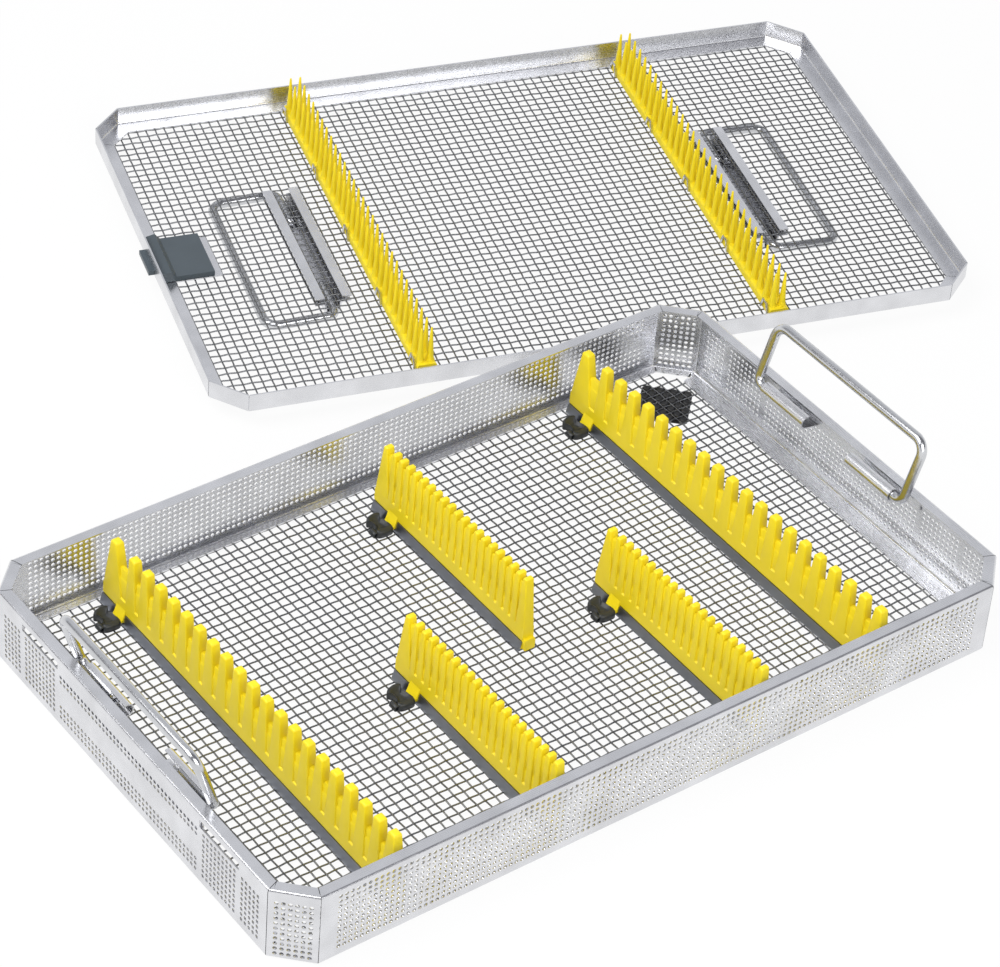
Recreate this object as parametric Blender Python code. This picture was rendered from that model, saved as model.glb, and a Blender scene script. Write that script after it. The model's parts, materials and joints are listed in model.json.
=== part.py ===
"""Instrument storage tray with a woven mesh floor, silicone holding bars and a lift-off lid.

Metres, +Z up. The origin is on the table under the centre of the tray, +X runs along its long side
and +Y towards its back. The lid lies upside down on the table behind the tray, as it was laid aside.
"""

import math

import bmesh
import bpy
from mathutils import Matrix, Vector

# Sheet metal and clearances
SHEET = 0.0008
GAP = 0.0003
CUT_OVERRUN = 0.004

# Tray body
TRAY_LENGTH = 0.406
TRAY_WIDTH = 0.253
TRAY_HEIGHT = 0.040
CORNER_LEG = 0.016
RIM_WIDTH = 0.006
RIM_BEND = 0.0015
FOOT_BEND = 0.002
END_FLANGE = 0.0124
SIDE_FLANGE = 0.0075
STRIP_WIDTH = 0.003
STRIP_RISE_LENGTH = 0.0008
BEND_STEPS = 3

# Lid catch slots under the rim of the end walls
SLOT_LENGTH = 0.0305
SLOT_HEIGHT = 0.004
SLOT_OFFSET_share = 0.29
SLOT_DROP = 0.003

# Woven mesh, drawn as a coarse flat net: one bar stands for several wires
MESH_PITCH = 0.005
NET_STEP = 5
NET_THICKNESS = 0.002
NET_BAR = 0.0017
NET_LAP = 0.0022

# Wire handles and the sleeves that they turn in
WIRE_DIAMETER = 0.005
WIRE_SIDES = 8
SLEEVE_CLEARANCE = 0.00035
AXIS_DROP = 0.0038
AXIS_INSET = 0.0041
SLEEVE_LENGTH = 0.0317
SLEEVE_SPACING = 0.0326
SLEEVE_ARC_STEPS = 8
SLEEVE_FROM = math.radians(-101)
SLEEVE_TO = math.radians(-290)
HANDLE_SPAN = 0.109
HANDLE_REACH = 0.033
HANDLE_BEND = 0.007
FOOT_BEND_RADIUS = 0.0045
FOOT_LENGTH = 0.028
HINGE_PLATE_LENGTH = 0.118
HINGE_PLATE_HEIGHT = 0.0066
HINGE_PLATE_DROP = 0.0106
HINGE_TAB_RISE = 0.0022

# Rails and silicone bars
RAIL_WIDTH = 0.010
RAIL_MOUTH = 0.007
RAIL_HEIGHT = 0.005
RAIL_SHEET = 0.0006
RAIL_END_CLEARANCE = 0.0006
SHORT_BAR_share = 0.511
BLADE_FOOT = 0.0064
BLADE_TIP = 0.0044
BLADE_HEIGHT = 0.0352
WEB_THICKNESS = 0.0024
NOTCH_SETBACK = 0.0118
NOTCH_LENGTH = 0.0082
TAB_REACH = 0.0004
TAB_RISE = 0.0020
TAB_LIP = 0.0022

# Coarse and fine combs: heights over the blade foot and sizes along the bar
COARSE_PITCH = 0.0109
COARSE_ROOT = 0.0069
COARSE_WEB = 0.0204
COARSE_FINGER_FOOT = 0.0078
COARSE_FINGER_TIP = 0.0044
COARSE_END_SETBACK = 0.0075
COARSE_FIRST_SETBACK = 0.0230
COARSE_LAST_SETBACK = 0.0058
FINE_PITCH = 0.0055
FINE_ROOT = 0.0084
FINE_WEB = 0.0312
FINE_FINGER_FOOT = 0.0034
FINE_FINGER_TIP = 0.0026
FINE_END_SETBACK = 0.0053
FINE_FIRST_SETBACK = 0.0123
FINE_LAST_SETBACK = 0.0034

# Bars: place across the tray, front end from the front flange, and kind
BARS = {
    "left_coarse": {"x_share": -0.3456, "front_share": 0.0, "coarse": True},
    "right_coarse": {"x_share": 0.3202, "front_share": 0.0, "coarse": True},
    "rear_fine": {"x_share": 0.0116, "front_share": 0.443, "coarse": False},
    "front_left_fine": {"x_share": -0.1370, "front_share": 0.0, "coarse": False},
    "front_right_fine": {"x_share": 0.1446, "front_share": 0.0, "coarse": False},
}

# Lock clips at the rear end of each bar
CLIP_LENGTH = 0.0095
CLIP_WIDTH = 0.0150
CLIP_HEIGHT = 0.0042
CLIP_OFFSET = 0.0017
CLIP_OUTLINE_shares = (
    (0.25, 0.50), (0.0, 0.42), (0.15, 0.20), (0.10, 0.0), (0.0, -0.30), (0.10, -0.46), (0.35, -0.50),
    (0.80, -0.48), (1.0, -0.38), (0.88, -0.22), (0.80, 0.0), (0.85, 0.18), (0.95, 0.26), (0.75, 0.42), (0.50, 0.48),
)
CLIP_PIN_DIAMETER = 0.0036
CLIP_PIN_LENGTH = 0.0046
CLIP_PIN_SIDES = 8
CLIP_PIN_SETBACK_share = 1.04
CLIP_PIN_PLACE_share = -0.24

# Knobbed rubber pad in the right rear corner
PAD_STEPS = 3
PAD_PLATE = 0.0008
PAD_MARGIN = 0.0004
PAD_KNOB_DIAMETER = 0.0039
PAD_KNOB_HEIGHT = 0.0016
PAD_KNOB_SIDES = 8
PAD_END_SETBACK = 0.0305
PAD_SIDE_SETBACK = 0.029

# Lid frame
LID_OVERHANG = 0.0018
LID_FLANGE = 0.0092
LID_RIM_HEIGHT = 0.0105
LID_BEND = 0.0015
LID_NET_LAP = 0.005
LID_CLEARANCE = 0.0015
LID_YAW = math.radians(-17.1)
LID_SLIDE_share = -0.0576

# Lid handles, their hinge channels and the backing strips
LID_HINGE_share = 0.2954
LID_HANDLE_REACH = 0.0365
CHANNEL_LENGTH = 0.098
CHANNEL_MOUTH = 0.0092
CHANNEL_STRIP = 0.005

# Lid latch
LATCH_LENGTH = 0.0286
LATCH_WIDTH = 0.034
LATCH_PLATE_LENGTH = 0.0248
LATCH_THICKNESS = 0.0028
LATCH_NOSE_HEIGHT = 0.0062
LATCH_NOSE_LENGTH = 0.0085
LATCH_TONGUE_WIDTH = 0.019
LATCH_TONGUE_REACH = 0.0030

# Pin bars in the lid
PIN_BAR_WIDTH = 0.0105
PIN_BAR_HEIGHT = 0.0045
PIN_BAR_shares = {"left": -0.2283, "right": 0.2363}
PIN_PITCH = 0.008
PIN_HEIGHT = 0.0245
PIN_FOOT = 0.0036
PIN_TIP = 0.0014
PIN_ROW_share = 0.25
PIN_SINK = 0.001
PIN_CLIPS = 5
PIN_CLIP_WIRE = 0.0012
PIN_CLIP_SPREAD = 0.009
PIN_CLIP_HEIGHT = 0.006
PIN_CLIP_SIDES = 5

STEEL = {"colour": (0.62, 0.63, 0.64), "roughness": 0.32, "metallic": 1.0}
BRIGHT_STEEL = {"colour": (0.70, 0.71, 0.72), "roughness": 0.22, "metallic": 1.0}
SILICONE = {"colour": (0.90, 0.76, 0.02), "roughness": 0.50, "metallic": 0.0}
BLACK_PLASTIC = {"colour": (0.02, 0.022, 0.024), "roughness": 0.45, "metallic": 0.0}
GREY_PLASTIC = {"colour": (0.07, 0.09, 0.10), "roughness": 0.45, "metallic": 0.0}
BLACK_RUBBER = {"colour": (0.015, 0.015, 0.016), "roughness": 0.6, "metallic": 0.0}

# Heights and places worked out from the sizes above
STRIP_LEVEL = NET_THICKNESS + GAP
RAIL_LEVEL = NET_THICKNESS + GAP
RAIL_TOP = RAIL_LEVEL + RAIL_HEIGHT
WIRE_RADIUS = WIRE_DIAMETER / 2
SLEEVE_INNER = WIRE_RADIUS + SLEEVE_CLEARANCE
SLEEVE_OUTER = SLEEVE_INNER + SHEET
HINGE_X = TRAY_LENGTH / 2 - RIM_WIDTH - AXIS_INSET
HINGE_Z = TRAY_HEIGHT - AXIS_DROP
LEG_CLEARANCE = WIRE_RADIUS + GAP
HANDLE_LEAN = math.acos(LEG_CLEARANCE / math.hypot(AXIS_INSET, AXIS_DROP)) - math.atan2(AXIS_DROP, AXIS_INSET)
INNER_HALF_WIDTH = TRAY_WIDTH / 2 - SIDE_FLANGE
LONG_BAR = 2 * INNER_HALF_WIDTH - 2 * RAIL_END_CLEARANCE - 2 * RAIL_SHEET
LID_LENGTH = TRAY_LENGTH + 2 * LID_OVERHANG
LID_WIDTH = TRAY_WIDTH + 2 * LID_OVERHANG
CHANNEL_DEPTH = 2 * SLEEVE_INNER + SHEET
LID_PLATE_LEVEL = CHANNEL_DEPTH + GAP
LID_NET_LEVEL = LID_PLATE_LEVEL + SHEET + GAP
LID_FLANGE_LEVEL = LID_NET_LEVEL + NET_THICKNESS + GAP
LID_TOP_LEVEL = LID_FLANGE_LEVEL + LID_RIM_HEIGHT
LID_BAIL_LEVEL = SHEET + SLEEVE_INNER
LID_BAIL_DROP = math.asin((LID_BAIL_LEVEL - WIRE_RADIUS) / LID_HANDLE_REACH)


def clear_scene():
    for old in list(bpy.data.objects):
        bpy.data.objects.remove(old, do_unlink=True)


def material(name, finish):
    made = bpy.data.materials.get(name) or bpy.data.materials.new(name)
    made.use_nodes = True
    shader = made.node_tree.nodes["Principled BSDF"]
    shader.inputs["Base Color"].default_value = (*finish["colour"], 1.0)
    shader.inputs["Roughness"].default_value = finish["roughness"]
    shader.inputs["Metallic"].default_value = finish["metallic"]
    return made


def add_object(name, bm, finish, smooth_angle=math.radians(35)):
    """Turns a bmesh into a visible object with its own material, with its faces pointing out."""
    bmesh.ops.recalc_face_normals(bm, faces=bm.faces)
    mesh = bpy.data.meshes.new(name)
    bm.to_mesh(mesh)
    bm.free()
    mesh.shade_smooth()
    mesh.set_sharp_from_angle(angle=smooth_angle)
    made = bpy.data.objects.new(name, mesh)
    made.data.materials.append(material(name + "_finish", finish))
    bpy.context.scene.collection.objects.link(made)
    return made


def empty(name, place, yaw=0.0):
    made = bpy.data.objects.new(name, None)
    made.location = place
    made.rotation_euler = (0.0, 0.0, yaw)
    bpy.context.scene.collection.objects.link(made)
    return made


def helper(name, bm):
    """A hidden solid that a Boolean modifier cuts away or joins on."""
    bmesh.ops.recalc_face_normals(bm, faces=bm.faces)
    mesh = bpy.data.meshes.new(name)
    bm.to_mesh(mesh)
    bm.free()
    made = bpy.data.objects.new(name, mesh)
    made.hide_render = True
    made.display_type = "WIRE"
    bpy.context.scene.collection.objects.link(made)
    return made


def add_boolean(target, other, operation):
    other.parent = target
    boolean = target.modifiers.new(operation.lower() + "_" + other.name, "BOOLEAN")
    boolean.operation = operation
    boolean.solver = "EXACT"
    boolean.object = other


def loft(bm, rings):
    """Joins rings of vertices of equal count into one closed skin with flat ends."""
    for ring, following in zip(rings, rings[1:]):
        for side, vertex in enumerate(ring):
            beside = (side + 1) % len(ring)
            bm.faces.new((vertex, ring[beside], following[beside], following[side]))
    bm.faces.new(rings[0])
    bm.faces.new(reversed(rings[-1]))


def prism(bm, outline, at, low, high):
    """Closes a solid between two copies of an outline; at(point, level) gives each vertex's place."""
    loft(bm, [[bm.verts.new(at(point, level)) for point in outline] for level in (low, high)])


def box(bm, low, high):
    corners = ((low[0], low[1]), (high[0], low[1]), (high[0], high[1]), (low[0], high[1]))
    prism(bm, corners, lambda corner, z: (corner[0], corner[1], z), low[2], high[2])


def arc(centre, radius, start, end, steps):
    """Points on an arc in a plane, both ends included."""
    turn = (end - start) / steps
    angles = [start + turn * step for step in range(steps + 1)]
    return [(centre[0] + radius * math.cos(a), centre[1] + radius * math.sin(a)) for a in angles]


def rounded_path(corners, radii, steps):
    """A path whose inner corners are rounded, each to its own radius."""
    path = [Vector(corners[0])]
    for before, corner, after, radius in zip(corners, corners[1:], corners[2:], radii):
        corner = Vector(corner)
        back = (Vector(before) - corner).normalized()
        ahead = (Vector(after) - corner).normalized()
        half = back.angle(ahead) / 2
        centre = corner + (back + ahead).normalized() * (radius / math.sin(half))
        start = corner + back * (radius / math.tan(half)) - centre
        end = corner + ahead * (radius / math.tan(half)) - centre
        turn = start.angle(end)
        axis = start.cross(end).normalized()
        path += [centre + Matrix.Rotation(turn * step / steps, 3, axis) @ start for step in range(steps + 1)]
    return path + [Vector(corners[-1])]


def tube(bm, path, radius, sides):
    """Sweeps a round section along a path that lies in one plane."""
    first = (path[1] - path[0]).normalized()
    normal = max((first.cross(point - path[0]) for point in path), key=lambda n: n.length).normalized()
    rings = []
    for index, point in enumerate(path):
        before = (point - path[max(index - 1, 0)]).normalized()
        after = (path[min(index + 1, len(path) - 1)] - point).normalized()
        along = (before + after).normalized()
        across = along.cross(normal)
        stretch = 1 / max(along.dot(after), along.dot(before))
        ring = []
        for side in range(sides):
            angle = math.tau * (side + 0.5) / sides
            offset = across * (radius * stretch * math.cos(angle)) + normal * (radius * math.sin(angle))
            ring.append(bm.verts.new(point + offset))
        rings.append(ring)
    loft(bm, rings)


def octagon(length, width, leg, inset_end, inset_side, inset_corner):
    """The corners of a rectangle with cut corners, drawn in by one inset for each kind of side."""
    half_x = length / 2 - inset_end
    half_y = width / 2 - inset_side
    reach = length / 2 + width / 2 - leg - inset_corner * math.sqrt(2)
    quarter = ((half_x, reach - half_x), (reach - half_y, half_y))
    points = list(quarter)
    points += [(-x, y) for x, y in reversed(quarter)]
    points += [(-x, -y) for x, y in quarter]
    points += [(x, -y) for x, y in reversed(quarter)]
    return points


def tray_corners():
    return octagon(TRAY_LENGTH, TRAY_WIDTH, CORNER_LEG, 0.0, 0.0, 0.0)


def wall_profile(flange):
    """Section of a wall as (inward, up): rim flange, wall, and a floor flange raised at its edge."""
    edge = flange - STRIP_WIDTH
    foot_inner = FOOT_BEND - SHEET
    rim_inner = RIM_BEND - SHEET
    low_centre = (FOOT_BEND, FOOT_BEND)
    high_centre = (RIM_BEND, TRAY_HEIGHT - RIM_BEND)
    outer = [(flange, STRIP_LEVEL), (edge, STRIP_LEVEL), (edge - STRIP_RISE_LENGTH, 0.0)]
    outer += arc(low_centre, FOOT_BEND, -math.pi / 2, -math.pi, BEND_STEPS)
    outer += arc(high_centre, RIM_BEND, math.pi, math.pi / 2, BEND_STEPS)
    outer += [(RIM_WIDTH, TRAY_HEIGHT)]
    inner = [(RIM_WIDTH, TRAY_HEIGHT - SHEET)]
    inner += arc(high_centre, rim_inner, math.pi / 2, math.pi, BEND_STEPS)
    inner += arc(low_centre, foot_inner, -math.pi, -math.pi / 2, BEND_STEPS)
    inner += [(edge - STRIP_RISE_LENGTH - SHEET / 2, SHEET), (edge - SHEET / 2, STRIP_LEVEL + SHEET)]
    inner += [(flange, STRIP_LEVEL + SHEET)]
    return outer + inner


def mitred_strip(bm, start, end, profile):
    """One side of the octagon, its ends cut on the corner's bisector and half a gap short of it."""
    start = Vector((*start, 0.0))
    end = Vector((*end, 0.0))
    along = (end - start).normalized()
    inward = Vector((-along.y, along.x, 0.0))
    slope = math.tan(math.pi / 8)
    short = GAP / 2 / math.cos(math.pi / 8)
    rings = []
    for place, sign in ((start, 1), (end, -1)):
        ring = []
        for inset, up in profile:
            shift = along * (sign * (inset * slope + short))
            ring.append(bm.verts.new(place + inward * inset + shift + Vector((0.0, 0.0, up))))
        rings.append(ring)
    loft(bm, rings)


def build_walls():
    corners = tray_corners()
    names = ("rear_right_corner", "rear_wall", "rear_left_corner", "left_wall",
             "front_left_corner", "front_wall", "front_right_corner", "right_wall")
    flanges = (SIDE_FLANGE, SIDE_FLANGE, SIDE_FLANGE, END_FLANGE) * 2
    walls = {}
    for index, (name, flange) in enumerate(zip(names, flanges)):
        bm = bmesh.new()
        mitred_strip(bm, corners[index], corners[(index + 1) % len(corners)], wall_profile(flange))
        walls[name] = add_object(name, bm, STEEL)
    for name, side in (("left_wall", -1), ("right_wall", 1)):
        for place, sign in (("rear", 1), ("front", -1)):
            middle = sign * SLOT_OFFSET_share * TRAY_WIDTH
            top = TRAY_HEIGHT - SLOT_DROP
            x_range = sorted((side * (TRAY_LENGTH / 2 + CUT_OVERRUN), side * (TRAY_LENGTH / 2 - CUT_OVERRUN)))
            bm = bmesh.new()
            box(bm, (x_range[0], middle - SLOT_LENGTH / 2, top - SLOT_HEIGHT),
                (x_range[1], middle + SLOT_LENGTH / 2, top))
            add_boolean(walls[name], helper(name + "_slot_" + place, bm), "DIFFERENCE")


def net_openings(half_x, half_y, reach):
    """Openings between the bars of a net, with the ones at the cut corners drawn in."""
    pitch = MESH_PITCH * NET_STEP
    spans = []
    for half in (half_x, half_y):
        lines = [pitch * step for step in range(-int(half / pitch), int(half / pitch) + 1)]
        lines = [line for line in lines if abs(line) < half - 2 * NET_BAR]
        lows = [-half + NET_BAR] + [line + NET_BAR / 2 for line in lines]
        highs = [line - NET_BAR / 2 for line in lines] + [half - NET_BAR]
        spans.append(list(zip(lows, highs)))
    limit = reach - NET_BAR * math.sqrt(2)
    for low_x, high_x in spans[0]:
        for low_y, high_y in spans[1]:
            outline = cut_corner(((low_x, low_y), (high_x, low_y), (high_x, high_y), (low_x, high_y)), limit)
            if area_of(outline) > NET_BAR * NET_BAR:
                yield outline


def cut_corner(outline, limit):
    """The part of an outline in one quadrant that lies inside the line where |x| + |y| is the limit."""
    kept = []
    for (x, y), (next_x, next_y) in zip(outline, outline[1:] + outline[:1]):
        here = limit - abs(x) - abs(y)
        there = limit - abs(next_x) - abs(next_y)
        if here > 0.0:
            kept.append((x, y))
        if here * there < 0.0:
            share = here / (here - there)
            kept.append((x + (next_x - x) * share, y + (next_y - y) * share))
    return kept


def area_of(outline):
    pairs = zip(outline, outline[1:] + outline[:1])
    return sum(x * next_y - next_x * y for (x, y), (next_x, next_y) in pairs) / 2


def net_solid(bm, outline, openings):
    """A flat plate with openings, as thick as the mesh."""
    edges = []
    for points in [outline, *openings]:
        loop = [bm.verts.new((x, y, 0.0)) for x, y in points]
        edges += [bm.edges.new((a, b)) for a, b in zip(loop, loop[1:] + loop[:1])]
    filled = bmesh.ops.triangle_fill(bm, edges=edges, use_beauty=True, normal=(0.0, 0.0, 1.0))
    faces = [item for item in filled["geom"] if isinstance(item, bmesh.types.BMFace)]
    raised = bmesh.ops.extrude_face_region(bm, geom=faces)
    top = [item for item in raised["geom"] if isinstance(item, bmesh.types.BMVert)]
    bmesh.ops.translate(bm, verts=top, vec=(0.0, 0.0, NET_THICKNESS))


def build_net(name, length, width, leg, insets):
    outline = octagon(length, width, leg, *insets)
    half_x = length / 2 - insets[0]
    half_y = width / 2 - insets[1]
    reach = length / 2 + width / 2 - leg - insets[2] * math.sqrt(2)
    bm = bmesh.new()
    net_solid(bm, outline, net_openings(half_x, half_y, reach))
    return add_object(name, bm, BRIGHT_STEEL)


def build_floor():
    build_net("floor_mesh", TRAY_LENGTH, TRAY_WIDTH, CORNER_LEG,
              (END_FLANGE - NET_LAP, SIDE_FLANGE - NET_LAP, SIDE_FLANGE - NET_LAP))


def build_hinge_plates():
    for name, side in (("left", -1), ("right", 1)):
        def at(point, y, side=side):
            return (side * (HINGE_X + point[0]), y, HINGE_Z + point[1])

        reach = AXIS_INSET + RIM_WIDTH - SHEET - GAP
        low = -HINGE_PLATE_DROP + AXIS_DROP
        plate = ((reach - SHEET, low), (reach, low), (reach, low + HINGE_PLATE_HEIGHT),
                 (reach - SHEET, low + HINGE_PLATE_HEIGHT))
        curl = sleeve_curl(reach, low + HINGE_TAB_RISE)
        bm = bmesh.new()
        prism(bm, plate, at, -HINGE_PLATE_LENGTH / 2, HINGE_PLATE_LENGTH / 2)
        hinge = add_object(name + "_hinge_plate", bm, STEEL)
        for place, sign in (("front", -1), ("rear", 1)):
            ends = sorted((sign * SLEEVE_SPACING / 2, sign * (SLEEVE_SPACING / 2 + SLEEVE_LENGTH)))
            bm = bmesh.new()
            prism(bm, curl, at, *ends)
            add_boolean(hinge, helper(f"{name}_sleeve_{place}", bm), "UNION")


def sleeve_curl(reach, level):
    """Section of the tab that leaves the plate and curls under and over the handle's wire."""
    root = reach - SHEET / 2
    inner = arc((0.0, 0.0), SLEEVE_INNER, SLEEVE_FROM, SLEEVE_TO, SLEEVE_ARC_STEPS)
    outer = arc((0.0, 0.0), SLEEVE_OUTER, SLEEVE_FROM, SLEEVE_TO, SLEEVE_ARC_STEPS)
    return [(root, level), *inner, *reversed(outer), (root, level - SHEET)]


def handle_path(reach, span):
    """Centre line of a bail that stands on its hinge axis, its feet turned in."""
    half = span / 2
    foot = half - FOOT_LENGTH
    corners = [(0.0, foot, 0.0), (0.0, half, 0.0), (0.0, half, reach),
               (0.0, -half, reach), (0.0, -half, 0.0), (0.0, -foot, 0.0)]
    return rounded_path(corners, (FOOT_BEND_RADIUS, HANDLE_BEND, HANDLE_BEND, FOOT_BEND_RADIUS), BEND_STEPS)


def build_handle(name, place, reach, lean):
    """A wire handle with its origin on its hinge axis; lean tips it about that axis."""
    bm = bmesh.new()
    tube(bm, handle_path(reach, HANDLE_SPAN), WIRE_RADIUS, WIRE_SIDES)
    bmesh.ops.rotate(bm, verts=bm.verts, cent=(0.0, 0.0, 0.0), matrix=Matrix.Rotation(lean, 3, "Y"))
    handle = add_object(name, bm, BRIGHT_STEEL)
    handle.location = place
    return handle


def build_tray_handles():
    for name, side in (("left", -1), ("right", 1)):
        build_handle(name + "_handle", (side * HINGE_X, 0.0, HINGE_Z), HANDLE_REACH, side * HANDLE_LEAN)


def bar_frame(bar):
    """Centre line, front end and rear end of a bar."""
    length = LONG_BAR if bar["coarse"] else LONG_BAR * SHORT_BAR_share
    front = -INNER_HALF_WIDTH + RAIL_END_CLEARANCE + bar["front_share"] * LONG_BAR
    return bar["x_share"] * TRAY_LENGTH, front, front + length


def build_rail(name, x, front, rear):
    half_foot = RAIL_WIDTH / 2
    half_mouth = RAIL_MOUTH / 2
    lean = math.atan2(half_foot - half_mouth, RAIL_HEIGHT)
    wall = RAIL_SHEET / math.cos(lean)
    inner_foot = half_foot - wall - RAIL_SHEET * math.tan(lean)
    right = [(half_foot, 0.0), (half_mouth, RAIL_HEIGHT), (half_mouth - wall, RAIL_HEIGHT),
             (inner_foot, RAIL_SHEET)]
    outline = right + [(-across, up) for across, up in reversed(right)]
    bm = bmesh.new()
    prism(bm, outline, lambda point, y: (x + point[0], y, RAIL_LEVEL + point[1]), front, rear)
    rail = add_object(name + "_rail", bm, STEEL)
    bm = bmesh.new()
    box(bm, (x - half_foot - CUT_OVERRUN, rear - NOTCH_SETBACK - NOTCH_LENGTH, RAIL_LEVEL + RAIL_SHEET + GAP),
        (x - inner_foot + RAIL_WIDTH / 4, rear - NOTCH_SETBACK, RAIL_TOP + CUT_OVERRUN))
    add_boolean(rail, helper(name + "_rail_notch", bm), "DIFFERENCE")


def finger_stations(front, rear, coarse):
    """Centre, foot length and tip length of each finger from the rear end to the front end."""
    if coarse:
        end, first, last = COARSE_END_SETBACK, COARSE_FIRST_SETBACK, COARSE_LAST_SETBACK
        pitch, foot, tip = COARSE_PITCH, COARSE_FINGER_FOOT, COARSE_FINGER_TIP
    else:
        end, first, last = FINE_END_SETBACK, FINE_FIRST_SETBACK, FINE_LAST_SETBACK
        pitch, foot, tip = FINE_PITCH, FINE_FINGER_FOOT, FINE_FINGER_TIP
    reach = rear - front - first - last
    steps = round(reach / pitch)
    stations = [(rear - end, 2 * end, tip)]
    stations += [(rear - first - reach * step / steps, foot, tip) for step in range(steps)]
    stations.append((front + last, 2 * last, tip))
    return stations


def blade_half(up):
    """Half of the blade's thickness at a height over its foot."""
    return BLADE_FOOT / 2 + (BLADE_TIP - BLADE_FOOT) / 2 * up / BLADE_HEIGHT


def build_comb(name, x, front, rear, coarse):
    """A silicone bar: a dovetail foot in the rail, a solid root and tapered fingers joined by a web."""
    root = COARSE_ROOT if coarse else FINE_ROOT
    web = COARSE_WEB if coarse else FINE_WEB
    foot_level = RAIL_TOP + GAP
    side_slope = (RAIL_WIDTH - RAIL_MOUTH) / 2 / RAIL_HEIGHT
    dovetail_level = RAIL_LEVEL + RAIL_SHEET + GAP
    mouth_half = RAIL_MOUTH / 2 - RAIL_SHEET / math.cos(math.atan(side_slope)) - GAP
    dovetail_half = mouth_half + side_slope * (RAIL_TOP - dovetail_level)
    bm = bmesh.new()

    def vertex(across, y, up):
        return bm.verts.new((x + across, y, foot_level + up))

    feet = {-1: [], 1: []}
    last_face = None
    stations = finger_stations(front, rear, coarse)
    for index, (centre, foot, tip) in enumerate(stations):
        rings = {}
        for facing in (1, -1):
            foot_y = centre + facing * foot / 2
            tip_y = centre + facing * tip / 2
            web_y = foot_y + (tip_y - foot_y) * (web - root) / (BLADE_HEIGHT - root)
            rings[facing] = {
                "foot": {side: vertex(side * blade_half(root), foot_y, root) for side in (-1, 1)},
                "tip": {side: vertex(side * blade_half(BLADE_HEIGHT), tip_y, BLADE_HEIGHT) for side in (-1, 1)},
            }
            if (facing == 1 and index > 0) or (facing == -1 and index < len(stations) - 1):
                half = WEB_THICKNESS / 2
                rings[facing]["web_foot"] = {side: vertex(side * half, foot_y, root) for side in (-1, 1)}
                rings[facing]["web_top"] = {side: vertex(side * half, web_y, web) for side in (-1, 1)}
        for facing in (1, -1):
            ring = rings[facing]
            outline = [ring["foot"][-1], ring["tip"][-1], ring["tip"][1], ring["foot"][1]]
            if "web_foot" in ring:
                outline += [ring["web_foot"][1], ring["web_top"][1], ring["web_top"][-1], ring["web_foot"][-1]]
            bm.faces.new(outline)
        for side in (-1, 1):
            bm.faces.new((rings[1]["foot"][side], rings[-1]["foot"][side],
                          rings[-1]["tip"][side], rings[1]["tip"][side]))
            feet[side] += [rings[1]["foot"][side], rings[-1]["foot"][side]]
        bm.faces.new((rings[1]["tip"][-1], rings[1]["tip"][1], rings[-1]["tip"][1], rings[-1]["tip"][-1]))
        if last_face:
            here = rings[1]
            for side in (-1, 1):
                bm.faces.new((last_face["web_foot"][side], last_face["web_top"][side],
                              here["web_top"][side], here["web_foot"][side]))
                bm.faces.new((last_face["foot"][side], last_face["web_foot"][side],
                              here["web_foot"][side], here["foot"][side]))
            bm.faces.new((last_face["web_top"][-1], last_face["web_top"][1],
                          here["web_top"][1], here["web_top"][-1]))
        last_face = rings[-1]

    section = ((BLADE_FOOT / 2, 0.0), (mouth_half, 0.0), (dovetail_half, dovetail_level - foot_level))
    ends = []
    for y in (rear, front):
        right = [vertex(across, y, up) for across, up in section]
        left = [vertex(-across, y, up) for across, up in section]
        ends.append(right + left[::-1])
    for end, index in ((0, 0), (1, -1)):
        bm.faces.new([feet[-1][index], feet[1][index], *ends[end]])
    for step in range(len(ends[0]) - 1):
        bm.faces.new((ends[0][step], ends[0][step + 1], ends[1][step + 1], ends[1][step]))
    bm.faces.new([ends[0][0], *feet[1], ends[1][0]])
    bm.faces.new([ends[0][-1], *feet[-1], ends[1][-1]])
    comb = add_object(name + "_comb", bm, SILICONE, smooth_angle=math.radians(20))

    # Tab that leaves the blade through the rail's notch, down to the lock clip
    outer = -RAIL_WIDTH / 2 - TAB_REACH
    low = RAIL_SHEET + 2 * GAP
    outline = ((0.0, low), (0.0, RAIL_HEIGHT + TAB_RISE), (-BLADE_FOOT / 2, RAIL_HEIGHT + TAB_RISE),
               (outer, TAB_LIP), (outer, low))
    bm = bmesh.new()
    prism(bm, outline, lambda point, y: (x + point[0], y, RAIL_LEVEL + point[1]),
          rear - NOTCH_SETBACK - NOTCH_LENGTH + GAP, rear - NOTCH_SETBACK - GAP)
    add_boolean(comb, helper(name + "_tab", bm), "UNION")


def build_lock_clip(name, x, rear):
    """Saddle-shaped plastic clip with a round pin, outside the rail's notch."""
    start = x - RAIL_WIDTH / 2 - TAB_REACH - GAP
    middle = rear - NOTCH_SETBACK - NOTCH_LENGTH / 2 + CLIP_OFFSET
    outline = [(start - along * CLIP_LENGTH, middle + across * CLIP_WIDTH) for along, across in CLIP_OUTLINE_shares]
    bm = bmesh.new()
    prism(bm, outline, lambda point, z: (point[0], point[1], z), RAIL_LEVEL, RAIL_LEVEL + CLIP_HEIGHT)
    clip = add_object(name + "_clip", bm, BLACK_PLASTIC)
    centre = (start - CLIP_PIN_SETBACK_share * CLIP_LENGTH, RAIL_LEVEL + CLIP_PIN_DIAMETER / 2 + GAP)
    ring = arc(centre, CLIP_PIN_DIAMETER / 2, 0.0, math.tau, CLIP_PIN_SIDES)[:-1]
    place = middle + CLIP_PIN_PLACE_share * CLIP_WIDTH
    bm = bmesh.new()
    prism(bm, ring, lambda point, y: (point[0], y, point[1]), place - CLIP_PIN_LENGTH / 2, place + CLIP_PIN_LENGTH / 2)
    add_boolean(clip, helper(name + "_clip_pin", bm), "UNION")


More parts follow.
